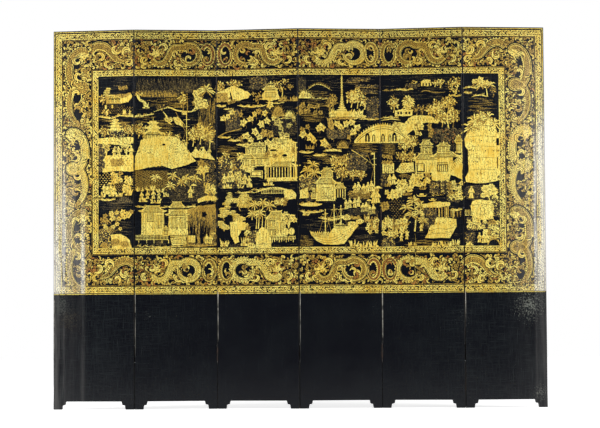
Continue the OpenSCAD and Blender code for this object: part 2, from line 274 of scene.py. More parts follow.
# Forged iron, blackened by the smith. It gives a dark metal with a dull sheen, hammer marks
# and rust where the blacking has gone.
iron = new_material("blackened_forged_iron")
where = add(iron, "TexCoord", {})
hammer = add(iron, "TexVoronoi", {"Vector": where.outputs["Object"], "Scale": repeat(5.26316)})
stain = add(iron, "TexNoise", {"Vector": where.outputs["Object"], "Scale": repeat(8.3333), "Detail": 6.0})
rust = add(iron, "MapRange", {0: stain, 1: 0.48, 2: 0.62})
colour = add(iron, "Mix", {0: rust, 6: linear("#262524"), 7: linear("#3f2a1e")}, data_type="RGBA")
metal = add(iron, "MapRange", {0: rust, 3: 0.9, 4: 0.15})
dull = add(iron, "MapRange", {0: rust, 3: 0.42, 4: 0.85})
relief = add(iron, "Bump", {"Strength": 0.5, "Distance": 0.0004, "Height": hammer})
shader = add(iron, "BsdfPrincipled", {
    "Base Color": colour.outputs[2], "Metallic": metal, "Roughness": dull,
    "Normal": relief,
})
add(iron, "OutputMaterial", {0: shader})

hinges = [
    node for name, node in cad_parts.items()
    if name.endswith(("_plates", "_nails", "_pins"))
]
paint(hinges, iron)


# ---- The picture on the front ----
# The six fronts are gilded as one picture, laid over the black lacquer by brush and left
# open wherever a black line shows. It is drawn in millimetres from the top left corner.

BRIGHT, OLD, RED, HAZE = "bright", "old", "red", "haze"
BARE = None
LEAVES = 6
PICTURE_W = LEAVES * PITCH - LEAF_GAP
picture = []


def lay(finish, outline):
    """Lays one flat touch of gold over what is there. A touch of BARE opens the lacquer again."""
    picture.append((finish, outline))


def hand(x, y):
    """The unevenness of the painter's hand at one place, the same on every run."""
    return random.Random(f"{x:.0f} {y:.0f}")


def swell(share):
    """A stroke that is thin at both ends."""
    return math.sin(math.pi * min(max(share, 0.03), 0.97)) ** 0.7


def thin_out(share):
    """A stroke that thins towards its end."""
    return 1 - 0.85 * share


def curve(points, steps=5):
    """Points along a smooth line through the given ones."""
    held = [points[0], *points, points[-1]]
    found = []
    for corners in zip(held, held[1:], held[2:], held[3:]):
        for t in (k / steps for k in range(steps)):
            found.append(tuple(
                q + (r - p) * t / 2 + (p - 2.5 * q + 2 * r - s / 2) * t**2
                + (1.5 * (q - r) + (s - p) / 2) * t**3
                for p, q, r, s in zip(*corners)
            ))
    return [*found, points[-1]]


def stroke(finish, points, width, profile=None):
    """A brush stroke. profile gives the share of its width at each share of its length."""
    last = len(points) - 1
    sides = [], []
    for k, (x, y) in enumerate(points):
        (x0, y0), (x1, y1) = points[max(k - 1, 0)], points[min(k + 1, last)]
        half = max(width / 2 * (profile(k / last) if profile else 1), 0.25)
        half /= math.hypot(x1 - x0, y1 - y0) or 1
        sides[0].append((x - (y1 - y0) * half, y + (x1 - x0) * half))
        sides[1].append((x + (y1 - y0) * half, y - (x1 - x0) * half))
    lay(finish, sides[0] + sides[1][::-1])


def placed(shape, x, y, wide, high=None, turn=0.0):
    """A shape drawn about its own origin in unit size, set down at its real size and turn."""
    high = wide if high is None else high
    c, s = math.cos(turn), math.sin(turn)
    return [(x + p * wide * c - q * high * s, y + p * wide * s + q * high * c) for p, q in shape]


def round_of(count, radius=None):
    """Points round the origin. radius gives each point's distance, and is 1 if left out."""
    rounds = ((k, 2 * math.pi * k / count) for k in range(count))
    return [
        ((radius(k) if radius else 1) * math.cos(a), (radius(k) if radius else 1) * math.sin(a))
        for k, a in rounds
    ]


def box(finish, left, top, right, bottom):
    lay(finish, [(left, top), (right, top), (right, bottom), (left, bottom)])


def rough(points, amount, step):
    """An outline whose long edges waver like a painted one."""
    by = hand(*points[0])
    found = []
    for (x0, y0), (x1, y1) in zip(points, points[1:] + points[:1]):
        count = max(1, round(math.hypot(x1 - x0, y1 - y0) / step))
        for k in range(count):
            t = k / count
            found.append((
                x0 + (x1 - x0) * t + by.uniform(-amount, amount),
                y0 + (y1 - y0) * t + by.uniform(-amount, amount),
            ))
    return found


# ---- Bands of gold ----
# Two bands of gold frame the dragons, and fine lines edge them. A vine with small leaves
# is left open in each, so that it shows black on gold.

LEAF_SHAPE = [(-1, 0), (-0.4, -0.42), (0.3, -0.38), (1, 0), (0.3, 0.38), (-0.4, 0.42)]
DOT = round_of(6)
VINE_WAVE = 34.0
VINE_LINE = 1.7


def vine(start, end, width):
    """A vine that waves along a band from start to end, with a leaf in each bend and dots."""
    length = math.dist(start, end)
    waves = max(1, round(length / VINE_WAVE))
    along = (end[0] - start[0]) / length, (end[1] - start[1]) / length
    by = hand(*start)

    def at(share, off):
        travelled = share * length
        return (
            start[0] + along[0] * travelled - along[1] * off,
            start[1] + along[1] * travelled + along[0] * off,
        )

    facing = math.atan2(along[1], along[0])
    steps = waves * 8
    sway = width * 0.24
    for k in range(waves * 2):
        first = k * 4
        stretch = [
            at(j / steps, sway * math.sin(math.pi * j / 4)) for j in range(first, first + 5)
        ]
        stroke(BARE, stretch, VINE_LINE)
    for k in range(waves * 2):
        side = 1 if k % 2 else -1
        share = (k + 0.5) / (waves * 2)
        x, y = at(share, side * width * 0.19)
        lay(BARE, placed(LEAF_SHAPE, x, y, width * 0.2, turn=facing + side * 0.9))
        x, y = at(share + 0.13 / waves, side * width * 0.27)
        lay(BARE, placed(LEAF_SHAPE, x, y, width * 0.13, turn=facing - side * 0.8))
        for shift in (-0.2, 0.05, 0.26):
            x, y = at(share + shift / waves, -side * width * by.uniform(0.27, 0.36))
            lay(BARE, placed(DOT, x, y, width * by.uniform(0.05, 0.1)))


def gold_band(left, top, right, bottom, width, finish, dirt):
    """A rectangular frame of gold, width wide inwards, with the vine along each side."""
    inner = left + width, top + width, right - width, bottom - width
    corners = [(left, top), (right, top), (right, bottom), (left, bottom)]
    inside = [(inner[j], inner[k]) for j, k in ((0, 1), (2, 1), (2, 3), (0, 3))]
    for k in range(4):
        lay(finish, [corners[k], corners[k - 3], inside[k - 3], inside[k]])
    half = width / 2
    for x, y, along in (
        (left, top + half, 1), (left, bottom - half, 1), (left + half, top, 0), (right - half, top, 0)
    ):
        by = hand(x, y)
        reach = right - left if along else bottom - top
        for _ in range(int(reach / dirt)):
            at = by.uniform(width, reach - width)
            off = by.uniform(-half, half) * 0.85
            spot = (x + at, y + off) if along else (x + off, y + at)
            size = by.uniform(2.0, 5.6)
            lay(by.choice((OLD, BARE, BARE, BARE)), placed(DOT, *spot, size, size * 0.7, by.uniform(0, 3)))
    vine((left, top + half), (right, top + half), width)
    vine((left, bottom - half), (right, bottom - half), width)
    vine((left + half, top + width), (left + half, bottom - width), width)
    vine((right - half, top + width), (right - half, bottom - width), width)


def gold_line(left, top, right, bottom, width, finish):
    """A thin rectangular line of gold."""
    box(finish, left, top, right, top + width)
    box(finish, left, bottom - width, right, bottom)
    box(finish, left, top + width, left + width, bottom - width)
    box(finish, right - width, top + width, right, bottom - width)


OUTER_INSET = 14.0
OUTER_TOP = 17.0
OUTER_W = 33.0
INNER_INSET = 224.0
INNER_TOP = 227.0
INNER_W = 31.0
PICTURE_BOTTOM = 1459.0
INNER_BOTTOM = 1243.0

gold_band(
    OUTER_INSET, OUTER_TOP, PICTURE_W - OUTER_INSET, PICTURE_BOTTOM, OUTER_W, BRIGHT, 5.2
)
for inset, top, bottom, wide in (
    (5.5, 6.5, PICTURE_BOTTOM + 8, 3.2),
    (OUTER_INSET + OUTER_W + 5, OUTER_TOP + OUTER_W + 5, PICTURE_BOTTOM - OUTER_W - 5, 2.2),
    (INNER_INSET - 6, INNER_TOP - 6, INNER_BOTTOM + 6, 2.2),
):
    gold_line(inset, top, PICTURE_W - inset, bottom, wide, BRIGHT if wide > 3 else OLD)


# ---- Dragon border ----
# Dragons wind through a scroll of leaves and clouds between the two bands. Each body is
# a broad stroke with a bright rim, scales left open, and a row of spines on its back.

SCROLL_LEFT, SCROLL_TOP = 59.0, 62.0
SCROLL_BOTTOM = 1414.0
SCROLL_W = 154.0
BODY_W = 44.0
SCALE_STEP = 10.0
SPINE_STEP = 13.0


def scroll_leaf(x, y, size, turn, finish):
    """A curled leaf: a hook with lobes along its back, a dark rim and a vein left open."""
    back = [
        (0, 0), (0.1, -0.3), (0.3, -0.28), (0.42, -0.52), (0.64, -0.4), (0.88, -0.5), (1.06, -0.2),
        (1.1, 0.08)
    ]
    hook = [
        (0.98, 0.32), (0.76, 0.4), (0.58, 0.26), (0.6, 0.1), (0.74, 0.06), (0.7, -0.08), (0.46, -0.08),
        (0.2, 0.06)
    ]
    rim = [(p * 1.22 - 0.11, q * 1.36 + 0.02) for p, q in back + hook]
    lay(BARE, placed(rim, x, y, size, turn=turn))
    lay(finish, placed(back + hook, x, y, size, turn=turn))
    stroke(
        BARE, placed([(0.14, -0.06), (0.5, -0.24), (0.86, -0.2), (0.94, 0.08)], x, y, size, turn=turn),
        size * 0.06
    )


def curl(x, y, size, turn, finish, flip=1):
    """A tapering curl of cloud, thick where it turns, with a dark rim."""
    arc = [
        (
            x + size * (0.5 - 0.07 * a) * math.cos(turn + flip * a),
            y + size * (0.5 - 0.07 * a) * math.sin(turn + flip * a),
        )
        for a in (0.45 * k for k in range(10))
    ]
    stroke(BARE, arc, size * 0.42 + 3, swell)
    stroke(finish, arc, size * 0.34, swell)
    stroke(BARE, arc[2:8], size * 0.05, swell)


def foliage(left, top, right, bottom, step, size, tints=(42, 48, 10)):
    """A dense scroll of leaves and curls over a rectangle. tints weighs bright, old and red gold."""
    by = hand(left, top)
    columns = max(1, round((right - left) / step))
    rows = max(1, round((bottom - top) / step))
    for row in range(rows):
        for column in range(columns):
            x = left + (column + 0.5 + by.uniform(-0.3, 0.3)) * (right - left) / columns
            y = top + (row + 0.5 + by.uniform(-0.3, 0.3)) * (bottom - top) / rows
            turn = by.uniform(0, 2 * math.pi)
            finish = by.choices((BRIGHT, OLD, RED), tints)[0]
            pick = by.random()
            reach = size * by.uniform(0.75, 1.3)
            if pick < 0.45:
                scroll_leaf(
                    x - 0.5 * reach * math.cos(turn), y - 0.5 * reach * math.sin(turn), reach, turn,
                    finish
                )
            elif pick < 0.9:
                curl(x, y, reach * 1.15, turn, finish, by.choice((-1, 1)))
            else:
                petals = round_of(10, lambda k: 1.0 if k % 2 else 0.62)
                lay(finish, placed(petals, x, y, reach * 0.34, turn=turn))
                lay(BARE, placed(DOT, x, y, reach * 0.12))


def dragon_body(points, width, finish):
    """A scaled body along the points, from its neck to its tail, with spines on its left."""
    def slim(share):
        return 0.8 + 0.2 * math.sin(math.pi * min(1, share * 1.6)) - 0.55 * max(0, share - 0.7) / 0.3

    path = curve(points, 6)
    stroke(BARE, path, width * 1.38, slim)
    lengths = [0.0]
    for p, q in zip(path, path[1:]):
        lengths.append(lengths[-1] + math.dist(p, q))
    whole = lengths[-1]

    def at(travelled):
        k = max(1, next((j for j, l in enumerate(lengths) if l >= travelled), len(path) - 1))
        t = (travelled - lengths[k - 1]) / ((lengths[k] - lengths[k - 1]) or 1)
        (x0, y0), (x1, y1) = path[k - 1], path[k]
        return x0 + (x1 - x0) * t, y0 + (y1 - y0) * t, math.atan2(y1 - y0, x1 - x0)

    for n in range(int(whole / SPINE_STEP)):
        x, y, facing = at((n + 0.5) * SPINE_STEP)
        half = width / 2 * slim((n + 0.5) * SPINE_STEP / whole)
        spine = [
            (-0.55, half / SPINE_STEP * 0.9), (0.55, half / SPINE_STEP * 0.9),
            (-0.35, half / SPINE_STEP + 0.62)
        ]
        lay(BRIGHT, placed(spine, x, y, SPINE_STEP, turn=facing))
    stroke(BRIGHT, path, width, slim)
    stroke(BARE, path, width * 0.88, slim)
    stroke(finish, path, width * 0.74, slim)
    for n in range(1, int(whole / SCALE_STEP)):
        x, y, facing = at(n * SCALE_STEP)
        half = width * 0.34 * slim(n * SCALE_STEP / whole)
        for row in (-0.62, 0.0, 0.62):
            shift = 0 if row == 0.0 else SCALE_STEP / 2
            arc = [
                (shift - 2.6, (row - 0.3) * half), (shift + 1.8, row * half),
                (shift - 2.6, (row + 0.3) * half)
            ]
            stroke(BARE, placed(arc, x, y, 1, turn=facing), 2.3)
    belly = [
        (x - math.sin(facing) * half, y + math.cos(facing) * half)
        for x, y, facing, half in (
            (*at(t * whole / 40), -width * 0.29 * slim(t / 40)) for t in range(41)
        )
    ]
    stroke(BRIGHT, belly, 2.4)


def claw(x, y, turn, size):
    """A leg that ends in four talons."""
    stroke(BARE, placed([(0, 0), (0.7, 0.25), (1.15, 0.0)], x, y, size, turn=turn), size * 0.5)
    stroke(BRIGHT, placed([(0, 0), (0.6, 0.25), (1.0, 0.0)], x, y, size, turn=turn), size * 0.3, thin_out)
    foot = placed([(1.0, 0.0)], x, y, size, turn=turn)[0]
    for spread in (-0.9, -0.35, 0.25, 0.9):
        talon = placed([(0, 0), (0.35, -0.08), (0.7, 0.1)], *foot, size, turn=turn + spread)
        stroke(BRIGHT, talon, size * 0.16, thin_out)


def dragon_head(x, y, turn, size, mirrored=False):
    """A horned head with an open jaw, a mane and long whiskers."""
    flip = -1 if mirrored else 1
    head = [
        (-0.3, 0.3), (-0.15, -0.2), (-0.35, -0.5), (-0.05, -0.42), (0.15, -0.5), (0.4, -0.3), (0.75, -0.32),
        (0.95, -0.15), (0.7, -0.02), (0.35, 0.05), (0.6, 0.18), (0.55, 0.34), (0.2, 0.38), (0.0, 0.5)
    ]

    def put(points):
        return placed([(p, q * flip) for p, q in points], x, y, size, turn=turn)

    for root, tip in (
        ((-0.1, -0.3), (-0.9, -0.75)), ((-0.2, -0.1), (-1.0, -0.3)), ((-0.2, 0.2), (-0.9, 0.35))
    ):
        bend = (root[0] + tip[0]) / 2, (root[1] + tip[1]) / 2 - 0.14
        stroke(BRIGHT, curve(put([root, bend, tip]), 4), size * 0.13, thin_out)
    lay(BRIGHT, put(head))
    for root, bend, tip in (
        ((0.8, -0.2), (1.15, -0.45), (1.0, -0.8)), ((0.5, 0.3), (0.85, 0.55), (0.7, 0.9))
    ):
        stroke(BRIGHT, curve(put([root, bend, tip]), 4), size * 0.07, thin_out)
    lay(BARE, placed(DOT, *put([(0.2, -0.2)])[0], size * 0.08))
    stroke(BARE, put([(-0.1, 0.1), (0.2, 0.12), (0.45, 0.02)]), size * 0.05)


def dragon_cell(left, top, mirrored, second):
    """The border over one leaf: a dragon that winds into a ring, and a small coil beside it."""
    side = -1 if mirrored else 1
    origin = left + (LEAF_W if mirrored else 0)

    def at(x):
        return origin + side * x

    def ring(x, wide, high, start, sweep):
        angles = (start + sweep * k / 14 for k in range(15))
        return [(at(x) + side * wide * math.cos(a), middle - high * math.sin(a)) for a in angles]

    middle = top + SCROLL_W / 2
    by = hand(left, top)
    far = by.uniform(288, 312)
    wide = by.uniform(52, 62)
    near = by.uniform(402, 412)
    foliage(left + 4, top + 3, left + LEAF_W - 4, top + SCROLL_W - 3, 17.5, 24.0, (36, 50, 14))
    for x, reach in ((at(near), 30), (at(far), wide - 10)):
        lay(BARE, placed(round_of(20, lambda k: by.uniform(0.7, 1.0)), x, middle, reach, SCROLL_W * 0.36))
    dragon_body(
        [(at(96), middle + 30), (at(128), middle + 52), (at(168), middle + 40), (at(190), middle + 2)]
        + [(at(far - 90), middle - 38)] + ring(far, wide, 54, 2.3, by.uniform(-5.9, -4.9)),
        BODY_W * 0.8, by.choice((BRIGHT, OLD)),
    )
    dragon_body(ring(near, 34, 56, 2.6, -6.0), BODY_W * 0.5, second)
    for k in range(9):
        x = far + by.uniform(-26, 26) if k < 6 else near + by.uniform(-8, 8)
        curl(
            at(x), middle + by.uniform(-34, 34), by.uniform(20, 44), 2.4 * k,
            (OLD, BRIGHT, second)[k % 3], side
        )
    for x, y, size, turn in (
        (238, 40, 46, 0.4), (226, -6, 36, 2.6), (160, -36, 52, 3.6), (92, -14, 44, 5.0),
        (56, 30, 50, 1.0)
    ):
        curl(at(x), middle + y, size, turn if side > 0 else math.pi - turn, BRIGHT, side)
    dragon_head(at(126), middle - 6, 0.5 if mirrored else math.pi - 0.5, 36, not mirrored)
    claw(at(252), middle + 58, (math.pi - 0.2) if mirrored else 0.2, 28)
    claw(at(196), middle - 50, (math.pi + 2.2) if mirrored else -2.2, 28)


def dragon_corner(left, right, top, mirrored):
    """A coil at the end of the border, over the part of an outer leaf inside the side border."""
    side = -1 if mirrored else 1
    middle = top + SCROLL_W / 2
    centre = (left + right) / 2
    foliage(left, top + 3, right, top + SCROLL_W - 3, 16.5, 24.0)
    dragon_body(
        [
            (centre + side * x, middle + y)
            for x, y in ((-120, -30), (-86, -54), (-40, -46), (-8, -16), (28, 26), (66, 38))
        ],
        BODY_W, OLD,
    )
    for x, y, size, turn in (
        (-70, 14, 54, 4.0), (22, -34, 60, 0.4), (84, -16, 58, 2.2), (92, 42, 44, 5.2), (-24, 48, 44, 1.2)
    ):
        curl(centre + side * x, middle + y, size, turn, BRIGHT, side)


def dragon_side(left, top, bottom, mirrored):
    """The upright border: three dragons, one above the other, each in two coils."""
    centre = left + SCROLL_W / 2
    foliage(left + 2, top, left + SCROLL_W - 2, bottom, 16.5, 24.0, (52, 46, 2))
    reach = (bottom - top) / 3
    for k in range(3):
        side = 1 if mirrored == (k % 2 == 1) else -1
        begin = top + reach * k + 66
        pace = reach * 0.42
        path = [
            (centre + side * 46 * math.cos(t), begin + pace * t / 6.28 - 56 * math.sin(t))
            for t in (-0.9 + 0.5 * j for j in range(29))
        ]
        for turn in (0.3, 0.8, 1.3, 1.8):
            lay(BARE, placed(
                round_of(12), centre + side * 12 * math.cos(6.28 * turn), begin + pace * turn, 24, 30
            ))
        dragon_body(path, BODY_W, BRIGHT if k == 1 else OLD)
        for turn in (0.18, 0.66, 1.2, 1.68, 2.1):
            x = centre - side * 14 * math.cos(6.28 * turn)
            curl(x, begin + pace * turn, 50, 2 * turn + k, BRIGHT if turn < 1.5 else OLD, side)
        claw(centre - side * 30, begin + pace * 0.8, 0.4 + side, 34)
        claw(centre + side * 26, begin + pace * 1.6, 2.2 - side, 32)
        dragon_head(*path[0], math.pi / 2 - side * 2.1, 42, side > 0)


for y in (SCROLL_TOP, SCROLL_BOTTOM - SCROLL_W):
    low = y > LEAF_H / 3
    for leaf in range(1, 5):
        dragon_cell(leaf * PITCH, y, leaf % 2 == 0, RED if (leaf < 3) != low else OLD)
    dragon_corner(INNER_INSET - 8, LEAF_W, y, low)
    dragon_corner((LEAVES - 1) * PITCH, PICTURE_W - INNER_INSET + 8, y, not low)
dragon_side(SCROLL_LEFT, SCROLL_TOP, SCROLL_BOTTOM, False)
dragon_side(PICTURE_W - SCROLL_LEFT - SCROLL_W, SCROLL_TOP, SCROLL_BOTTOM, True)


# ---- Landscape: ground and water ----
# The landscape is a river country of islands, trees, halls and boats. First come the
# touches for ground and water.

MAPLE_POINTS = (1, 0.62, 0.98, 0.6, 0.84, 0.52, 0.4, 0.52, 0.84, 0.6, 0.98, 0.62)
MAPLE_SHAPE = round_of(12, lambda k: MAPLE_POINTS[k])


def mass(finish, points, waver=2.2, step=11.0):
    """A body of gold with a wavering edge."""
    lay(finish, rough(points, waver, step))


def water(left, top, right, bottom, count, finish=OLD):
    """Level ripples, thin at both ends."""
    by = hand(left, top)
    for k in range(count):
        length = by.uniform(25, 110)
        x = by.uniform(left, max(left + 1, right - length))
        y = top + (bottom - top) * (k + by.random()) / count
        sag = by.uniform(-2, 2)
        points = [(x, y), (x + length / 3, y + sag), (x + length * 2 / 3, y - sag / 2), (x + length, y)]
        stroke(finish, [(min(p, right), q) for p, q in points], by.uniform(1.1, 2.3), swell)


def bank(left, right, y, thick, bend=0.0, finish=BRIGHT):
    """A sandbank: a long bright stroke with stones and grass along it and hatching beneath."""
    by = hand(left, y)
    count = max(4, round((right - left) / 18))
    points = [
        (left + (right - left) * k / count, y + bend * math.sin(math.pi * k / count) + by.uniform(-3, 3))
        for k in range(count + 1)
    ]
    stroke(finish, curve(points, 3), thick * 0.72, swell)
    for x, level in points[1:-1]:
        stroke(BARE, [(x - 5, level + thick * 0.1), (x + 9, level + thick * 0.24)], 2.0, swell)
    for x, level in points[1:-1:2]:
        stones = round_of(9, lambda k: by.uniform(0.7, 1.2))
        lay(OLD, placed(stones, x, level - thick * 0.4, by.uniform(6, 11), by.uniform(3, 6)))
        for lean in (-6, 0, 6):
            stroke(
                finish, [(x + 9 + lean / 2, level), (x + 9 + lean, level - by.uniform(8, 14))], 2.6,
                thin_out
            )
        stroke(HAZE, [(x - 16, level + thick), (x + 14, level + thick + 1)], 2.0, swell)


def within(x, y, left, top, right, bottom):
    """True inside the rounded patch that fills a rectangle."""
    across = (2 * x - left - right) / (right - left)
    down = (2 * y - top - bottom) / (bottom - top)
    return across**4 + down**4 < 1.1


def speckle(left, top, right, bottom, step, finish, size=2.0):
    """Small level dashes in rows, as on paving or rough ground."""
    by = hand(left, top)
    row, y = 0, top
    while y < bottom:
        x = left + (row % 2) * step / 2
        while x < right:
            dash = by.uniform(0.8, 1.2) * size
            if within(x, y, left, top, right, bottom):
                lay(
                    finish,
                    placed(DOT, x + by.uniform(-1, 1), y + by.uniform(-1, 1), dash * 1.6, dash * 0.55)
                )
            x += step
        y += step * 0.62
        row += 1


def scales(left, top, right, bottom, radius):
    """Overlapping arcs that stand for waves."""
    row, y = 0, top
    while y < bottom:
        x = left + (row % 2) * radius
        while x < right:
            for share in (1.0, 0.55):
                arc = [
                    (x + radius * share * math.cos(a), y - radius * share * 0.62 * math.sin(a))
                    for a in (0.3, 0.85, 1.57, 2.29, 2.84)
                ]
                stroke(OLD, arc, 1.5)
            x += radius * 2
        y += radius * 0.62
        row += 1


def haze(left, top, right, bottom, count, finish=HAZE):
    """Dusted gold, drawn down in fine upright touches that fade at both ends."""
    by = hand(left, top)
    for _ in range(count * 6):
        x = by.uniform(left, right)
        y = by.uniform(top, bottom)
        reach = by.uniform(10, 60)
        end = min(y + reach, bottom + 8)
        stroke(finish, [(x, y), (x + 0.6, (y + end) / 2), (x, end)], by.uniform(1.2, 3.4), swell)


def thicket(left, top, right, bottom, finish=HAZE, dots=OLD, step=11.0):
    """A stretch of dim undergrowth, dotted with leaves."""
    by = hand(left, top)
    size = min(24.0, (bottom - top) / 2, (right - left) / 2)
    for row in range(max(1, round((bottom - top) / size / 1.3))):
        for column in range(max(1, round((right - left) / size / 1.3))):
            x = left + size * (0.7 + 1.3 * column) + by.uniform(-4, 4)
            y = top + size * (0.7 + 1.3 * row) + by.uniform(-4, 4)
            lumps = round_of(14, lambda k: by.uniform(0.62, 1.1))
            if within(x, y, left, top, right, bottom):
                lay(HAZE, placed(lumps, x, y, size))
    row, y = 0, top + step * 0.4
    while y < bottom:
        x = left + (row % 2) * step / 2
        while x < right:
            spot = x + by.uniform(-3, 3), y + by.uniform(-3, 3)
            kind = by.choices((finish, dots, BARE), (28, 28, 44))[0]
            leaf = placed(LEAF_SHAPE, *spot, step * by.uniform(0.32, 0.62), turn=by.uniform(0, 3.1))
            if within(*spot, left - 8, top - 8, right + 8, bottom + 8):
                lay(kind, leaf)
            x += step
        y += step * 0.7
        row += 1


def hill(left, right, y, high, finish=BRIGHT, peak=0.5):
    """A hill with grass strokes on its skyline and ridges left open."""
    count = 9
    by = hand(left, y)
    crest = [
        (
            left + (right - left) * k / count,
            y - high * math.sin(
                math.pi * (k / count) ** (math.log(0.5) / math.log(peak))
            ) ** 0.8 + by.uniform(-3, 3),
        )
        for k in range(count + 1)
    ]
    mass(finish, [*curve(crest, 2), (right, y + 4), (left, y + 4)], 1.6, 14)
    for x, level in crest[1:-1]:
        stroke(BARE, [(x, level + high * 0.16), (x + 7, y - high * 0.25), (x + 16, y - 2)], 2.6, swell)
        for lean in (-6, -1, 5):
            stroke(finish, [(x + lean, level + 3), (x + lean * 2, level - 11)], 2.2, thin_out)


def rock(x, y, wide, high, finish=OLD):
    """A pierced rock with its cracks left open."""
    by = hand(x, y)
    shape = round_of(13, lambda k: by.uniform(0.72, 1.12))
    lay(finish, [(p, min(q, y + high * 0.5)) for p, q in placed(shape, x, y, wide / 2, high / 2)])
    for k in range(3):
        start = x + wide * (k - 1) * 0.22
        stroke(BARE, [(start, y - high * 0.3), (start + 4, y), (start - 3, y + high * 0.3)], 3.0, swell)


def arch_rock(x, y, wide, high):
    """A rock arch drawn by its rim over a dark cave."""
    rim = [
        (x + wide / 2 * math.cos(a), y - high * math.sin(a))
        for a in (math.pi * k / 10 for k in range(11))
    ]
    stroke(OLD, rim, 7.0)
    stroke(BRIGHT, [(p, q - 6) for p, q in rim], 2.0, swell)
    for p, q in rim[1:-1:2]:
        stroke(HAZE, [(p, q + 6), (p + (x - p) * 0.25, q + 18)], 2.0, thin_out)


# ---- Landscape: trees ----
# Each tree is a trunk with its kind's own leaves: maple, palm, pine or a lobed crown of
# small ones. Low bushes and loose sprays of leaves fill the ground between them.

def leaf_touch(x, y, size, turn, finish):
    """One broad maple leaf with its veins left open."""
    lay(finish, placed(MAPLE_SHAPE, x, y, size, turn=turn))
    for k in (0, 2, 10):
        tip = placed(
            [(0.62 * math.cos(math.pi * k / 6), 0.62 * math.sin(math.pi * k / 6))], x, y, size, turn=turn
        )[0]
        stroke(BARE, [(x, y), tip], 2.0)


def leaves(left, top, right, bottom, count, size, finish=BRIGHT):
    """Broad leaves spread over a stretch, joined by fine twigs."""
    by = hand(left, top)
    wide, high = right - left, bottom - top
    columns = max(1, round(math.sqrt(count * wide / max(high, 1))))
    rows = max(1, round(count / columns))
    last = None
    for row in range(rows):
        for column in range(columns):
            x = left + wide * (column + 0.5 + by.uniform(-0.38, 0.38)) / columns
            y = top + high * (row + 0.5 + by.uniform(-0.38, 0.38)) / rows
            if last and abs(last[0] - x) < wide / columns * 1.6:
                stroke(OLD, [last, ((x + last[0]) / 2, (y + last[1]) / 2 + 5), (x, y)], 1.8)
            last = x, y
            kind = finish if by.random() < 0.82 else OLD
            leaf_touch(x, y, size * by.uniform(0.78, 1.2), by.uniform(0, 6.28), kind)


def trunk(points, width, finish=OLD):
    stroke(finish, curve(points, 3), width, thin_out)


def maple(x, y, wide, high, count=12, size=17.0):
    """A maple: an open crown of broad leaves over a forked trunk."""
    by = hand(x, y)
    for lean in (-0.3, 0.05, 0.32):
        trunk(
            [(x, y), (x + wide * lean * 0.3, y - high * 0.4), (x + wide * lean, y - high * 0.75)], 5.0,
            BRIGHT
        )
    for k in range(count):
        a = 2.4 * k
        r = math.sqrt((k + 0.5) / count)
        leaf_touch(
            x + wide / 2 * r * math.cos(a) + by.uniform(-4, 4),
            y - high * 0.68 + high * 0.34 * r * math.sin(a),
            size * by.uniform(0.75, 1.15), by.uniform(0, 6.28), BRIGHT,
        )


def dotted_tree(x, y, wide, high, finish=BRIGHT, second=OLD, dense=60):
    """A lobed crown made of many small leaves. dense is how much of it they cover, in percent."""
    by = hand(x, y)
    trunk([(x, y), (x + 4, y - high * 0.3), (x - 3, y - high * 0.6)], 6.0, finish)
    trunk([(x + 2, y - high * 0.25), (x + wide * 0.2, y - high * 0.5)], 4.0, finish)
    count = round(min(dense, 66) * wide * high * 0.00011)
    lobe = by.uniform(0, 6.28)
    for k in range(count):
        a = 2.39996 * k
        r = math.sqrt((k + 0.5) / count) * (0.92 + 0.2 * math.sin(5 * a + lobe))
        spot = x + wide / 2 * r * math.cos(a), y - high * 0.62 + high * 0.4 * r * math.sin(a)
        size = by.uniform(4.5, 8.5)
        lay(
            finish if by.random() < 0.6 else second,
            placed(LEAF_SHAPE, *spot, size, size * 1.2, a + by.uniform(-0.6, 0.6))
        )


def palm(x, y, high, reach, lean=0.0, fronds=13):
    """A palm: a burst of pointed fronds that droop at its sides."""
    by = hand(x, y)
    top = x + lean, y - high
    if high:
        trunk([(x, y), (x + lean * 0.3, y - high * 0.5), top], 6.5, BRIGHT)
    for k in range(fronds):
        a = math.pi * (1.5 * (k + by.uniform(-0.3, 0.3)) / (fronds - 1) - 0.25)
        length = reach * by.uniform(0.7, 1.2)
        bend = top[0] - length * 0.55 * math.cos(a), top[1] - length * 0.62 * math.sin(a) - length * 0.06
        tip = top[0] - length * math.cos(a), top[1] - length * math.sin(a) * 0.9 + length * 0.16
        stroke(BARE, curve([top, bend, tip], 4), reach * 0.26, swell)
        stroke(BRIGHT if k % 4 else OLD, curve([top, bend, tip], 4), reach * 0.18, swell)


def pine(x, y, wide, high, finish=BRIGHT, tiers=5):
    """A pine: flat scalloped pads of needles on a crooked trunk."""
    by = hand(x, y)
    trunk([
        (x, y), (x - wide * 0.1, y - high * 0.35), (x + wide * 0.08, y - high * 0.65),
        (x, y - high * 0.95)
    ], 6.0, OLD)
    for k in range(tiers):
        px = x + wide * by.uniform(-0.28, 0.28)
        py = y - high * (0.34 + 0.62 * k / (tiers - 1))
        pad = wide * by.uniform(0.26, 0.4) * (1.15 - 0.5 * k / tiers)
        scallops = round_of(16, lambda j: 1.0 if j % 2 else 0.82)
        lay(finish, placed(scallops, px, py, pad, pad * 0.42))
        for j in range(-3, 4):
            stroke(BARE, [(px + pad * j * 0.2, py + pad * 0.3), (px + pad * j * 0.26, py - pad * 0.1)], 2.2)


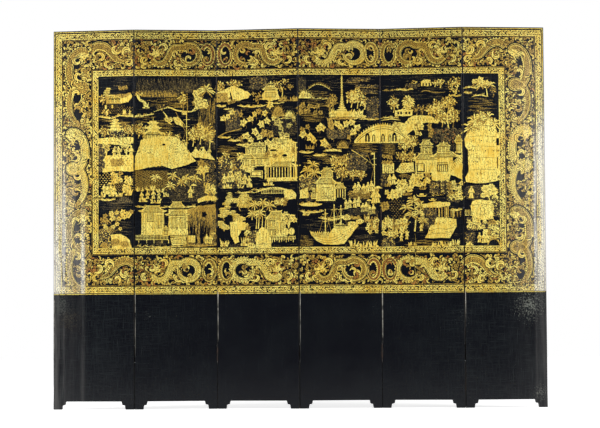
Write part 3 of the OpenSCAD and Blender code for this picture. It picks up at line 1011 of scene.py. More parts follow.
def bush(x, y, wide, high, finish=OLD):
    """A low bush: a fan of pointed leaves over a few rounded stones."""
    by = hand(x, y)
    for k in range(max(5, round(wide / 6))):
        base = x + wide * by.uniform(-0.34, 0.34)
        lean = (base - x) * 0.5 + by.uniform(-6, 6)
        reach = high * by.uniform(0.6, 1.15)
        stroke(
            finish, [(base, y), (base + lean * 0.4, y - reach * 0.6), (base + lean, y - reach)],
            by.uniform(4.5, 7.5), swell
        )
    for k in (-1, 0, 1):
        stones = round_of(9, lambda j: by.uniform(0.75, 1.15))
        lay(
            finish if k else OLD,
            placed(stones, x + wide * 0.27 * k, y - high * 0.16, wide * 0.15, high * 0.17)
        )


# ---- Landscape: buildings and boats ----
# Halls, pagodas, bridges, fences and boats of a kind found in every such river scene,
# filled with bright gold, their timbers and tiles left open as fine black lines.

ROOF = [
    (-0.5, -0.26), (-0.42, -0.06), (-0.34, 0), (0.34, 0), (0.42, -0.06), (0.5, -0.26), (0.4, -0.32),
    (0.29, -0.58),
    (0.23, -0.9), (0.27, -1.1), (0.19, -1.0), (-0.19, -1.0), (-0.27, -1.1), (-0.23, -0.9),
    (-0.29, -0.58), (-0.4, -0.32)
]


def roof(x, y, wide, high):
    """A hipped roof with turned-up corners. y is the line of its eaves."""
    lay(BARE, placed(ROOF, x, y + 2, wide * 1.04, high * 1.06))
    lay(BRIGHT, placed(ROOF, x, y, wide, high))
    tiles = max(4, round(wide / 11))
    for k in range(tiles + 1):
        t = k / tiles - 0.5
        stroke(BARE, [
            (x + wide * 0.36 * t, y - high * 0.88), (x + wide * 0.5 * t, y - high * 0.45),
            (x + wide * 0.66 * t, y - high * 0.1)
        ], 1.9)
    stroke(BARE, [(x - wide * 0.3, y - high * 0.08), (x + wide * 0.3, y - high * 0.08)], 2.2)


def lattice(left, top, right, bottom, step):
    """A window or door drawn by open lines."""
    box(BARE, left, top, right, bottom)
    box(BRIGHT, left + 2.4, top + 2.4, right - 2.4, bottom - 2.4)
    count = max(1, round((right - left) / step))
    for k in range(1, count):
        x = left + (right - left) * k / count
        box(BARE, x - 1.0, top + 2, x + 1.0, bottom - 2)


def hall(x, y, wide, high, bays=3, floors=1, porch=False):
    """A hall standing on y: plinth, bays, and a roof over each floor."""
    floor_h = high / (floors + 0.15)
    for floor in range(floors):
        base = y - floor_h * floor
        span = wide * (1 - 0.2 * floor)
        wall_top = base - floor_h * 0.7
        if porch:
            box(BARE, x - span / 2, wall_top, x + span / 2, base)
            for k in range(bays * 2 + 1):
                post = x - span / 2 + span * k / (bays * 2)
                box(BRIGHT, post - 2.4, wall_top, post + 2.4, base)
        else:
            box(BRIGHT, x - span / 2, wall_top, x + span / 2, base)
            for k in range(bays):
                left = x - span / 2 + span * (k + 0.16) / bays
                right = x - span / 2 + span * (k + 0.84) / bays
                lattice(left, wall_top + floor_h * 0.14, right, base - floor_h * 0.12, 7.0)
        box(BRIGHT, x - span * 0.54, base - 5, x + span * 0.54, base)
        box(BARE, x - span * 0.54, base - 1.4, x + span * 0.54, base)
        roof(x, wall_top + 3, span * 1.26, floor_h * 0.36)
    crown = y - floor_h * (floors - 1) - floor_h * 1.04
    lay(BRIGHT, placed(DOT, x, crown - 1, 4.5, 6.0))


def pagoda(x, y, wide, high, tiers=7):
    """A tower of small roofs with a spire."""
    step = high * 0.8 / tiers
    for k in range(tiers):
        base = y - step * k
        span = wide * (1 - 0.72 * k / tiers)
        box(BRIGHT, x - span * 0.3, base - step, x + span * 0.3, base)
        eave = [
            (-0.5, -0.5), (-0.36, 0), (0.36, 0), (0.5, -0.5), (0.26, -0.62), (0.2, -1.0), (-0.2, -1.0),
            (-0.26, -0.62)
        ]
        lay(BRIGHT, placed(eave, x, base - step * 0.42, span, step * 0.58))
        stroke(BARE, [(x - span * 0.3, base - step * 0.36), (x + span * 0.3, base - step * 0.36)], 1.4)
    stroke(BRIGHT, [(x, y - high * 0.78), (x, y - high)], 4.0, thin_out)


def fence(left, right, y, high, step=9.0, finish=BRIGHT, fall=0.0):
    """Rails and posts; fall is how far the right end lies below the left."""
    count = max(2, round((right - left) / step))
    for level in (0.0, 0.75):
        stroke(finish, [(left, y - high * level), (right, y - high * level + fall)], 2.2)
    for k in range(count + 1):
        x = left + (right - left) * k / count
        base = y + fall * k / count
        box(finish, x - 1.3, base - high, x + 1.3, base + 3)


def boat(x, y, length):
    """A small covered boat."""
    hull = [(-0.5, -0.1), (-0.3, 0.03), (0.3, 0.03), (0.5, -0.1), (0.34, 0.13), (-0.34, 0.13)]
    lay(BRIGHT, placed(hull, x, y, length))
    lay(BRIGHT, placed([(-0.2, 0.0), (-0.16, -0.16), (0.16, -0.16), (0.2, 0.0)], x, y, length))


def mast(x, top, bottom, reach):
    """A banner pole with cross-arms, a pennant and two stays."""
    box(BRIGHT, x - 2.2, top, x + 2.2, bottom)
    for share in (0.18, 0.34):
        level = top + (bottom - top) * share
        stroke(BRIGHT, [(x - reach * 0.3, level), (x + reach * 0.3, level - 3)], 2.6)
    pennant = [(0, 0), (-0.5, -0.2), (-1, 0.05), (-0.62, 0.2), (-0.95, 0.42), (0, 0.34)]
    lay(BRIGHT, placed(pennant, x, top + 4, reach * 0.5))
    stroke(OLD, [(x, top + (bottom - top) * 0.5), (x - reach, top)], 2.0)
    stroke(OLD, [(x, top + (bottom - top) * 0.34), (x - reach * 0.7, bottom)], 1.4)


# ---- Landscape: people ----
# Small robed people walk, sit and carry parasols, each a few touches of the brush.

ROBE = [
    (-0.09, -0.8), (-0.2, -0.62), (-0.26, -0.42), (-0.16, -0.4), (-0.13, -0.52), (-0.14, -0.3),
    (-0.22, 0.0),
    (0.2, 0.0), (0.13, -0.32), (0.12, -0.54), (0.2, -0.4), (0.28, -0.46), (0.2, -0.66), (0.09, -0.8)
]


def person(x, y, high=62.0, parasol=False):
    """One robed person standing on y."""
    lean = hand(x, y).uniform(-0.06, 0.06)
    lay(BARE, placed(ROBE, x, y + 2, high * 1.14, high * 1.06, lean))
    lay(BRIGHT, placed(ROBE, x, y, high, turn=lean))
    lay(BRIGHT, placed(round_of(8), x + high * lean, y - high * 0.88, high * 0.085))
    if hand(y, x).random() < 0.4:
        lay(BRIGHT, placed([(-0.12, 0), (0, -0.1), (0.12, 0)], x + high * lean, y - high * 0.94, high))
    stroke(BARE, placed([(-0.13, -0.44), (0.12, -0.44)], x, y, high), 2.2)
    stroke(BARE, placed([(0.0, -0.42), (-0.03, -0.02)], x, y, high), 1.8)
    if parasol:
        stroke(BRIGHT, placed([(0.24, -0.4), (0.3, -1.1)], x, y, high), 1.8)
        lay(BRIGHT, placed(
            [(0.02, -1.06), (0.12, -1.18), (0.3, -1.25), (0.48, -1.18), (0.58, -1.06)], x, y, high
        ))


def crowd(left, right, y, count, high=60.0):
    """A row of people. Every third one carries a parasol."""
    by = hand(left, y)
    for k in range(count):
        share = (k + 0.5) / count
        place = left + (right - left) * share + by.uniform(-4, 4)
        person(place, y + by.uniform(-5, 5), high * by.uniform(0.88, 1.08), k % 3 == 1)


# ---- Landscape, first leaf ----
# An island with a hut under pines, then a small pagoda, a court with people, and rocks
# with trees beside the water.

def group(draw, places, *style):
    """The same motif at several places, all in one style."""
    for place in places:
        draw(*place, *style)


for leaf in range(LEAVES):
    water(
        max(260, leaf * PITCH + 4), 262, min(2464, leaf * PITCH + 450), 1208, 190 if leaf % 5 else 90,
        HAZE
    )
water(258, 262, 450, 330, 12, HAZE)
mass(OLD, [(292, 366), (330, 362), (400, 358), (436, 352), (446, 372), (430, 400), (380, 412), (300, 412)])
hall(346, 408, 80, 44, 4)
pine(312, 392, 56, 66)
dotted_tree(278, 418, 42, 60, OLD, BRIGHT)
trunk([(392, 384), (386, 350), (398, 320)], 5, BARE)
leaves(368, 304, 420, 340, 7, 11, OLD)
mass(BRIGHT, [(378, 384), (410, 376), (440, 360), (448, 378), (424, 402), (384, 410)])
box(BRIGHT, 292, 418, 302, 440)
box(BRIGHT, 330, 418, 339, 436)
speckle(258, 424, 452, 470, 13, OLD, 2.2)
bush(416, 474, 60, 30, BRIGHT)
dotted_tree(300, 478, 56, 34)
bank(252, 372, 482, 14, 8)
bank(350, 562, 474, 14, 8)
water(252, 500, 452, 552, 24)
pagoda(352, 566, 104, 86, 4)
group(dotted_tree, ((290, 604, 68, 64), (420, 604, 64, 76), (444, 590, 40, 50)), OLD, BRIGHT, 60)
thicket(318, 566, 404, 604, OLD, BRIGHT, 9)
mass(BRIGHT, [(250, 602), (340, 598), (454, 600), (454, 634), (350, 638), (250, 632)])
speckle(256, 610, 450, 628, 17, BARE, 2.4)
for k, x in enumerate((274, 300, 346, 372, 414, 440)):
    if k % 3 == 1:
        maple(x, 704, 50, 74, 8, 13)
    else:
        person(x, 704, 50 + 8 * (k % 2), k == 3)
leaves(260, 640, 450, 676, 6, 12)
mass(BRIGHT, [(288, 700), (360, 696), (454, 700), (454, 790), (360, 786), (280, 792), (272, 760)])
mass(OLD, [(318, 722), (392, 716), (402, 752), (330, 762)])
speckle(286, 704, 448, 780, 21, BARE, 2.6)
thicket(254, 640, 282, 780, HAZE, OLD, 8)
speckle(256, 796, 350, 882, 17, BRIGHT, 3.2)
speckle(350, 850, 450, 900, 12, OLD, 2.6)
leaves(322, 796, 392, 852, 9, 17)
leaves(396, 812, 446, 896, 9, 19)
crowd(280, 352, 910, 4, 52)
group(bush, ((276, 930, 46), (330, 926, 40), (372, 928, 50), (424, 922, 48)), 32, BRIGHT)
bank(252, 352, 940, 12, 5)
hill(354, 450, 962, 30, HAZE, 0.5)
water(252, 946, 452, 1000, 26, HAZE)
group(dotted_tree, ((352, 1080, 80, 80), (290, 1110, 60, 70), (330, 1150, 70, 60)), OLD, HAZE, 50)
leaves(270, 1010, 390, 1130, 11, 17)
leaves(386, 1006, 446, 1042, 7, 18)
thicket(256, 1108, 326, 1210, OLD, BRIGHT, 11)
mass(BRIGHT, [(326, 1136), (380, 1134), (410, 1146), (432, 1172), (444, 1212), (330, 1212)])
group(rock, ((352, 1180, 60, 50), (404, 1192, 56, 44), (290, 1196, 52, 36)), OLD)
water(372, 1060, 450, 1130, 7, HAZE)


# ---- Landscape, second leaf ----
# A palace on a broad golden slope with a banner pole beside it. In front of it lie a court
# by the waves and two pavilions on piles.

haze(462, 266, 880, 344, 120)
mass(
    HAZE,
    [(480, 338), (560, 330), (640, 336), (706, 352), (700, 368), (640, 378), (560, 380), (500, 374)], 4
)
haze(490, 336, 690, 368, 34, OLD)
water(500, 380, 760, 436, 34)
dotted_tree(474, 388, 46, 46)
stroke(BRIGHT, curve([(462, 352), (480, 388), (508, 404), (530, 432)]), 13, swell)
bush(518, 440, 46, 30, BRIGHT)
stroke(BRIGHT, curve([(560, 458), (640, 434), (690, 450), (762, 456), (800, 446)]), 8, swell)
dotted_tree(722, 452, 54, 104, OLD, BRIGHT, 80)
dotted_tree(604, 452, 70, 34, OLD, HAZE)
trunk([(746, 462), (748, 400), (742, 352)], 5, OLD)
haze(800, 372, 900, 660, 60)
haze(808, 372, 900, 600, 22, OLD)
trunk([(776, 452), (800, 420), (812, 380), (840, 330)], 10, BRIGHT)
leaves(776, 332, 832, 440, 10, 21)
leaves(796, 390, 850, 430, 5, 20)
palm(852, 338, 0, 44)
water(456, 482, 700, 590, 40)
stroke(BRIGHT, curve([(612, 456), (632, 484), (640, 512), (660, 530)]), 9, swell)
leaves(628, 486, 662, 522, 3, 15)
mass(BRIGHT, [(668, 488), (694, 484), (716, 512), (724, 544), (700, 532), (676, 520)])
mast(742, 458, 704, 60)
trunk([(700, 492), (724, 520), (742, 548)], 4, BRIGHT)
group(dotted_tree, ((474, 606, 62, 84), (500, 600, 44, 70)), OLD, BRIGHT, 60)
pagoda(557, 592, 132, 104, 3)
hall(557, 612, 104, 50, 5, 1)
mass(BRIGHT, [
    (456, 706), (476, 660), (490, 614), (600, 592), (650, 592), (696, 606), (742, 656), (770, 700),
    (794, 732), (742, 752),
    (660, 774), (604, 758), (540, 766), (456, 782)
])
for level, left, right in (
    (622, 484, 670), (652, 476, 716), (684, 466, 744), (716, 462, 770), (744, 462, 752)
):
    by = hand(left, level)
    for k in range(round((right - left) / 23)):
        x = left + 23 * k + by.uniform(-6, 6)
        rise = by.uniform(6, 15)
        stroke(BARE, [(x, level), (x + 1, level - rise)], 1.7, swell)
        stroke(BARE, [(x, level - rise * 0.6), (x + by.choice((-5, 5)), level - rise)], 1.3, swell)
lay(BARE, placed(round_of(9), 615, 640, 9, 6))
group(dotted_tree, ((640, 606, 60, 40), (690, 622, 60, 40), (730, 654, 50, 44)), BRIGHT, OLD, 40)
group(dotted_tree, ((776, 650, 60, 110), (816, 640, 72, 120), (868, 660, 70, 130)), BRIGHT, OLD, 66)
crowd(776, 876, 700, 4, 46)
mass(BRIGHT, [(756, 690), (800, 674), (850, 676), (880, 700), (902, 728), (850, 716), (790, 712)])
thicket(800, 724, 904, 790, HAZE, OLD, 9)
scales(458, 792, 640, 900, 10.5)
speckle(640, 776, 850, 960, 10, HAZE, 4.4)
group(palm, ((568, 846), (664, 836), (650, 890), (712, 870), (736, 850), (792, 850)), 20, 34, 0, 9)
for x, top in ((742, 806), (754, 812)):
    stroke(BRIGHT, [(x, top), (x + 2, top + 60)], 7, swell)
leaves(806, 738, 856, 796, 6, 24)
stroke(BRIGHT, [(836, 790), (840, 850), (838, 900)], 10, thin_out)
thicket(842, 800, 902, 960, HAZE, OLD, 10)
leaves(846, 856, 900, 940, 9, 19)
person(762, 934, 62, True)
crowd(480, 600, 944, 4, 46)
group(
    bush,
    ((484, 900, 50), (540, 894, 60), (596, 906, 50), (500, 958, 60), (570, 966, 70), (628, 930, 40)), 26,
    BRIGHT
)
bank(456, 640, 984, 12, 6)
mass(BRIGHT, [(800, 944), (850, 922), (902, 928), (902, 946), (850, 952), (806, 962)])
bank(724, 860, 988, 12, -4)
mass(OLD, [(742, 1000), (800, 984), (902, 968), (904, 1200), (800, 1206), (744, 1200)])
haze(748, 1004, 900, 1190, 60)
for x in (776, 808, 842):
    bush(x, 1190, 60, 120, BARE)
lay(BARE, placed(MAPLE_SHAPE, 835, 1028, 22))
mass(BRIGHT, [(492, 1006), (616, 1004), (616, 1140), (490, 1140)], 1.4, 30)
roof(553, 1016, 164, 38)
lattice(522, 1022, 560, 1068, 6)
lattice(576, 1030, 604, 1104, 9)
for x in (500, 514, 566, 610):
    box(BARE, x, 1022, x + 1.6, 1134)
mass(BRIGHT, [(642, 1000), (744, 1000), (748, 1140), (640, 1142)], 1.4, 30)
roof(688, 992, 104, 36)
roof(690, 1034, 146, 32)
for left in (654, 702):
    lattice(left, 1044, left + 34, 1104, 8)
hall(626, 1146, 34, 56, 1)
fence(462, 636, 1166, 26, 8)
fence(652, 742, 1150, 14, 6)
mass(BRIGHT, [(652, 1156), (738, 1152), (740, 1194), (660, 1196)])
lattice(664, 1162, 732, 1188, 11)
box(BRIGHT, 750, 1144, 788, 1182)
crowd(846, 884, 1190, 2, 56)
water(500, 1172, 650, 1208, 18, HAZE)
for x in (476, 520, 560, 604, 640):
    stroke(BRIGHT, [(x, 1166), (x + 1, 1186)], 4.0)
bank(456, 760, 1204, 8, 3)


# ---- Landscape, third leaf ----
# Islands over maples, a great hall with an open porch, a plank bridge, and a pavilion on
# piles among pines and palms.

water(908, 262, 1362, 330, 20, HAZE)
dotted_tree(930, 372, 60, 84, OLD, BRIGHT, 70)
dotted_tree(1010, 330, 90, 50, OLD, BRIGHT, 60)
mass(BRIGHT, [
    (906, 350), (950, 336), (980, 320), (1010, 312), (1044, 330), (1080, 346), (1102, 364), (1086, 384),
    (1030, 396), (906, 404)
])
mass(OLD, [(906, 352), (970, 350), (976, 400), (906, 404)])
trunk([(998, 424), (992, 380), (984, 344)], 18, BARE)
leaves(972, 380, 1010, 420, 5, 12, OLD)
thicket(1096, 268, 1190, 340, HAZE, OLD, 11)
dotted_tree(1140, 420, 90, 70, OLD, BARE, 70)
mass(BRIGHT, [(1164, 372), (1186, 336), (1220, 322), (1250, 342), (1262, 392), (1212, 402), (1166, 392)])
roof(1210, 342, 96, 30)
hall(1214, 326, 44, 30, 2)
lattice(1184, 352, 1240, 382, 8)
for x, y in ((1246, 300), (1292, 290), (1322, 320), (1270, 330)):
    dotted_tree(x, y + 24, 50, 34, OLD, BRIGHT, 50)
trunk([(1276, 384), (1280, 340), (1262, 310)], 6, BRIGHT)
for x in (1270, 1300, 1332, 1350):
    bush(x, 406, 36, 30, OLD)
bank(905, 962, 424, 12, 3)
bank(948, 1004, 442, 10, 3)
bank(1026, 1192, 424, 14, 8)
bank(1186, 1290, 412, 8, 3)
leaf_touch(1206, 424, 27, 0.4, BRIGHT)
water(1010, 436, 1362, 470, 20, HAZE)
hill(1218, 1290, 486, 52, OLD, 0.5)
hill(1288, 1354, 500, 34, BRIGHT, 0.45)
bank(1226, 1356, 496, 8, 3)
thicket(970, 450, 1050, 560, HAZE, OLD, 11)
haze(960, 500, 1050, 560, 20)
for x, y, size in (
    (947, 497, 24), (976, 484, 20), (998, 464, 22), (1046, 476, 18), (1063, 522, 27), (1099, 503, 24),
    (1128, 570, 27),
    (1120, 474, 20), (1148, 460, 22), (1163, 529, 27), (1182, 471, 22), (1195, 510, 24), (1253, 529, 32),
    (1232, 500, 18), (1318, 542, 22), (1270, 556, 20), (1073, 590, 27), (1046, 610, 20), (1180, 580, 30),
    (1214, 586, 27),
    (1273, 592, 29), (1240, 620, 22), (1303, 596, 20), (1150, 604, 22), (1100, 618, 22), (1340, 510, 14),
):
    leaf_touch(x, y, size, x * 0.37, OLD if x in (1180, 1214, 1148, 1046, 1240) else BRIGHT)
    trunk([(x, y), (x + 14, y + 22), (x + 9, y + 34)], 3, OLD)
speckle(1220, 498, 1360, 600, 11, HAZE, 3.6)
stroke(OLD, curve([(918, 596), (960, 574), (1020, 560), (1050, 552)]), 5)
bank(914, 990, 598, 12, 3)
bank(972, 1040, 618, 15, 2)
bank(1018, 1096, 640, 14, 3)
water(908, 648, 1040, 724, 22)
hall(1150, 764, 200, 140, 5, 2)
hall(1080, 770, 96, 84, 3, 1)
hall(1270, 700, 150, 100, 4, 1)
mass(BRIGHT, [(1202, 640), (1260, 652), (1330, 640), (1356, 660), (1358, 740), (1202, 744)])
leaves(1188, 622, 1350, 730, 18, 23)
for x, y, wide, high in ((1190, 664, 14, 44), (1226, 676, 40, 12), (1290, 706, 30, 16)):
    lay(BARE, placed(round_of(8), x, y, wide / 2, high / 2))
hall(1276, 832, 160, 108, 5, 1, True)
stroke(BRIGHT, [(1322, 620), (1322, 830)], 9)
stroke(BRIGHT, [(1350, 640), (1350, 830)], 7)
box(BRIGHT, 1190, 830, 1358, 848)
box(BRIGHT, 1176, 740, 1188, 836)
mass(BRIGHT, [(1046, 760), (1120, 770), (1110, 800), (1060, 792)])
fence(1060, 1164, 772, 14, 9, BRIGHT, 58)
box(BRIGHT, 1098, 788, 1166, 822)
box(BARE, 1102, 792, 1162, 818)
box(BRIGHT, 1106, 796, 1158, 814)
box(BARE, 1168, 784, 1178, 834)
thicket(918, 720, 1060, 880, HAZE, OLD, 11)
group(
    dotted_tree, ((932, 764, 44, 60), (960, 744, 40, 70), (992, 800, 44, 70), (1044, 740, 50, 60)),
    BRIGHT, OLD, 46
)
leaves(1000, 760, 1056, 860, 8, 19)
crowd(934, 1010, 850, 3, 52)
person(1064, 862, 60)
person(1090, 866, 50)
group(bush, ((968, 884, 64), (1042, 884, 40), (1092, 880, 40), (1200, 872, 76)), 24, BRIGHT)
bank(1100, 1190, 890, 8, 2)
stroke(BRIGHT, curve([(1130, 906), (1200, 886), (1270, 888), (1310, 906)]), 8)
fence(1160, 1280, 914, 26, 9)
bank(1010, 1130, 908, 10, 2)
water(1010, 920, 1230, 960, 18, HAZE)
mass(BRIGHT, [(1286, 890), (1330, 896), (1352, 916), (1350, 946), (1296, 950), (1284, 930)])
mass(OLD, [(1236, 950), (1290, 936), (1300, 976), (1240, 984)])
leaves(1238, 936, 1300, 984, 5, 19)
group(pine, ((980, 1000, 70, 92), (1040, 1010, 96, 100), (1086, 1000, 60, 70)), BRIGHT, 6)
group(pine, ((950, 1060, 90, 76), (1010, 1076, 90, 66), (950, 1120, 84, 50)), BRIGHT, 5)
group(palm, ((1120, 1006), (1166, 1000), (1204, 1014), (1106, 1060), (1150, 1056)), 30, 36, 0, 9)
for x in (1128, 1140, 1160, 1178):
    trunk([(x, 1110), (x + 4, 1060), (x, 1020)], 6, BRIGHT)
hall(1240, 1152, 104, 156, 3, 1)
hall(1214, 1150, 60, 110, 2, 2)
maple(1310, 1110, 84, 84, 10, 17)
for x, y in ((1294, 1142), (1326, 1140)):
    lay(BRIGHT, placed(round_of(12), x, y - 14, 17, 20))
    stroke(BARE, [(x, y - 30), (x, y + 4)], 1.6)
fence(1186, 1346, 1168, 18, 8)
for x in range(1192, 1346, 13):
    stroke(BRIGHT, [(x, 1160), (x, 1186 - (x % 3) * 4)], 3.4)
mass(
    BRIGHT,
    [(982, 1070), (1020, 1066), (1068, 1072), (1066, 1130), (1050, 1176), (1010, 1190), (984, 1140)]
)
mass(BARE, [(1034, 1190), (1030, 1150), (1046, 1120), (1066, 1116), (1072, 1190)], 3, 9)
for x in (994, 1006, 1020):
    trunk([(x, 1090 + x % 9), (x + 3, 1120), (x + 1, 1160 - x % 7)], 2.2, BARE)
group(bush, ((950, 1206, 56, 40), (1058, 1204, 44, 50)), BRIGHT)
thicket(1092, 1120, 1146, 1176, OLD, BRIGHT, 9)
mass(BRIGHT, [(1128, 1140), (1160, 1096), (1190, 1110), (1214, 1180), (1212, 1210), (1124, 1212)])
for x in (1146, 1164, 1184):
    trunk([(x, 1130 + x % 9), (x + 3, 1150), (x + 1, 1196)], 2.2, BARE)
leaves(1070, 1082, 1098, 1200, 7, 17)
rock(1100, 1200, 50, 30, BRIGHT)
water(920, 1192, 1362, 1210, 10, HAZE)


# ---- Landscape, fourth leaf ----
# A tall spire on its island, maples, one half of a great bridge, a two-storey hall under
# trees, people on the shore and a three-masted junk.

haze(1364, 266, 1404, 342, 22)
water(1410, 270, 1640, 330, 12, HAZE)
stroke(BRIGHT, curve([(1412, 344), (1440, 322), (1466, 312), (1500, 318), (1548, 346)]), 5, swell)
for x in range(1424, 1536, 11):
    y = 344 - 34 * math.sin(math.pi * (x - 1410) / 138)
    for lean in (-5, 0, 6):
        stroke(OLD, [(x, y + 3), (x + lean, y - 11)], 2.6, thin_out)
hill(1364, 1446, 386, 34, BRIGHT, 0.35)
water(1366, 350, 1596, 440, 24)
bank(1420, 1550, 390, 5, 2)
for level in range(268, 372, 13):
    box(BRIGHT, 1600.5, level, 1607.5, level + 9)
    box(BRIGHT, 1598, level + 9, 1610, level + 11.5)
stroke(BRIGHT, [(1604, 270), (1604, 252)], 3)
pagoda(1604, 424, 26, 84, 7)
pagoda(1604, 474, 72, 64, 4)
for x, y, wide, high in (
    (1552, 452, 60, 84), (1532, 460, 40, 60), (1656, 440, 62, 92), (1690, 446, 96, 116),
    (1730, 452, 50, 66)
):
    dotted_tree(x, y, wide, high, BRIGHT if x > 1600 else OLD, OLD, 84)
for left, right, y in ((1632, 1700, 294), (1660, 1760, 284), (1680, 1810, 322), (1720, 1808, 352)):
    thicket(left, y - 9, right, y + 7, HAZE, OLD, 7)
    stroke(OLD, [(left, y + 9), ((left + right) / 2, y + 6), (right, y + 10)], 3, swell)
thicket(1742, 380, 1808, 496, HAZE, OLD, 10)
mass(BRIGHT, [
    (1530, 486), (1548, 462), (1600, 456), (1650, 466), (1712, 472), (1742, 490), (1716, 502),
    (1640, 504), (1560, 504)
], 4, 9)
mass(OLD, [(1534, 494), (1640, 490), (1730, 494), (1640, 506), (1540, 504)], 3, 9)
for x, wide in ((1560, 50), (1654, 60), (1706, 40)):
    bush(x, 480, wide, 30, BRIGHT)
for x in (1540, 1564, 1622, 1650, 1680, 1710):
    person(x, 492, 34)
mass(OLD, [(1520, 498), (1552, 500), (1560, 560), (1540, 590), (1526, 540)])
bank(1700, 1812, 504, 10, 2)
leaves(1366, 424, 1424, 470, 5, 19, OLD)
leaves(1444, 416, 1494, 474, 5, 19, OLD)
water(1366, 470, 1520, 520, 18)
for x, y, size in (
    (1389, 593, 27), (1431, 604, 32), (1492, 548, 30), (1470, 560, 20), (1508, 636, 32), (1576, 535, 26),
    (1600, 548, 22),
    (1624, 533, 24), (1608, 580, 26), (1666, 580, 27), (1660, 520, 25), (1689, 548, 25), (1410, 548, 18),
    (1384, 560, 18),
    (1450, 628, 20), (1546, 604, 20), (1580, 500, 14), (1640, 604, 18), (1530, 660, 18),
):
    leaf_touch(x, y, size, x * 0.41, BRIGHT if size > 18 else OLD)
    trunk([(x, y), (x + 12, y + 20), (x + 8, y + 30)], 3, OLD)
thicket(1520, 560, 1640, 600, HAZE, OLD, 10)
bush(1424, 672, 60, 24, OLD)
bank(1362, 1446, 688, 15, 2)
bank(1440, 1520, 706, 16, 2)
bank(1498, 1602, 682, 17, -3)
hill(1576, 1640, 662, 28, OLD, 0.5)
water(1640, 640, 1812, 690, 20)
water(1364, 700, 1600, 756, 18)


def great_bridge(left, right, y, rise):
    """A broad stone bridge with a walled roadway, side arches and ribbed masonry."""
    road = [
        (left + (right - left) * k / 24, y - rise * math.sin(math.pi * k / 24) ** 0.8)
        for k in range(25)
    ]
    mass(BRIGHT, [*road, (right, y + 12), (left, y + 12)], 0.8, 60)
    for drop, width in ((13, 1.8), (24, 3.2)):
        stroke(BARE, [(p, min(q + drop, y + 8)) for p, q in road[1:-1]], width)
    middle = (left + right) / 2
    for share, wide in ((-0.27, 26), (-0.16, 17), (0.0, 20), (0.12, 16), (0.2, 26)):
        centre = middle + share * (right - left)
        arch = [
            (centre + wide / 2 * math.cos(a), y - 20 - wide * math.sin(a))
            for a in (math.pi * j / 8 for j in range(9))
        ]
        lay(BARE, [*arch, (centre - wide / 2, y + 4), (centre + wide / 2, y + 4)])
        box(BRIGHT, centre - 3.5, y - 30, centre + 3.5, y + 4)
    for k in range(2, 23):
        x, level = road[k]
        box(BRIGHT, x - 2, level - 9, x + 2, level)


great_bridge(1672, 1992, 626, 92)
group(
    palm, ((1436, 900, 138), (1408, 880, 90), (1446, 880, 76), (1396, 900, 60), (1420, 920, 40)), 40, 4,
    9
)
thicket(1366, 832, 1452, 944, OLD, BRIGHT, 11)
mass(BRIGHT, [(1368, 900), (1410, 886), (1416, 940), (1366, 946)])
group(dotted_tree, (
    (1566, 800, 70, 96), (1620, 790, 80, 90), (1600, 850, 84, 80), (1660, 850, 66, 70),
    (1706, 850, 70, 64)
), OLD, BRIGHT, 84)
hall(1519, 846, 64, 80, 3, 1)
mass(BRIGHT, [(1460, 852), (1562, 850), (1564, 958), (1458, 960)], 1.2, 30)
roof(1512, 866, 152, 40)
lattice(1488, 882, 1536, 946, 9)
for x in (1468, 1480, 1544, 1554):
    box(BARE, x, 874, x + 1.6, 952)
hall(1592, 950, 54, 100, 2, 1, True)
hall(1446, 950, 30, 66, 1)
for x, y, wide, high in ((1424, 906, 30, 12), (1588, 946, 40, 16)):
    lay(BARE, placed(round_of(8), x, y, wide / 2, high / 2))
thicket(1640, 690, 1740, 776, HAZE, OLD, 11)
mast(1783, 690, 892, 42)
trunk([(1656, 676), (1720, 716), (1780, 762)], 5, BRIGHT)
rock(1784, 900, 48, 40, OLD)
group(person, ((1674, 914), (1694, 910), (1722, 918), (1744, 912), (1766, 904)), 56)
person(1780, 972, 78, True)
person(1800, 968, 66)
speckle(1640, 900, 1760, 946, 10, OLD, 4)
for x, y in (
    (1626, 1004), (1644, 996), (1672, 996), (1692, 990), (1716, 1022), (1736, 1016), (1756, 1034),
    (1776, 1030)
):
    person(x, y, 54, x == 1736)
speckle(1640, 1000, 1800, 1040, 11, HAZE, 4)
bank(1362, 1490, 976, 30, 4, BRIGHT)
bank(1362, 1500, 1012, 14, 12)
bush(1400, 1040, 44, 24, BRIGHT)
bank(1470, 1610, 1050, 17, 12)
bank(1600, 1710, 1056, 24, -4, OLD)
group(rock, ((1626, 1050, 50, 34), (1660, 1086, 66, 36), (1700, 1072, 50, 30)), BRIGHT)
group(bush, ((1744, 1076, 50, 44), (1780, 1120, 56, 70), (1790, 1076, 40, 40)), OLD)
leaves(1736, 1050, 1806, 1140, 7, 14)
water(1364, 1060, 1560, 1124, 18, HAZE)
for at, top, bottom, arm in ((1508, 1004, 1150, 30), (1557, 978, 1130, 38), (1595, 982, 1110, 30)):
    box(BRIGHT, at - 2.6, top, at + 2.6, bottom)
    for share in (0.2, 0.48):
        level = top + (bottom - top) * share
        stroke(BRIGHT, [(at - arm / 2, level), (at + arm / 2, level - 5)], 3.0)
    for side in (-1, 1):
        stroke(OLD, [(at, top + 8), (at + side * arm * 1.1, bottom - 20)], 1.8)
mass(BRIGHT, [
    (1420, 1124), (1444, 1136), (1484, 1146), (1526, 1144), (1546, 1114), (1562, 1094), (1640, 1098),
    (1692, 1094),
    (1664, 1130), (1634, 1168), (1612, 1196), (1560, 1200), (1500, 1198), (1456, 1178), (1432, 1150)
], 1.5, 20)
for drop in (0, 13, 26):
    stroke(BARE, curve(
        [(1446, 1152 + drop * 0.6), (1500, 1162 + drop), (1560, 1158 + drop), (1640, 1112 + drop)]
    ), 1.8, swell)
hall(1590, 1112, 56, 34, 4)
for x in range(1440, 1530, 12):
    person(x, 1152, 26)
water(1366, 1150, 1440, 1206, 12)
water(1640, 1150, 1800, 1186, 12, HAZE)
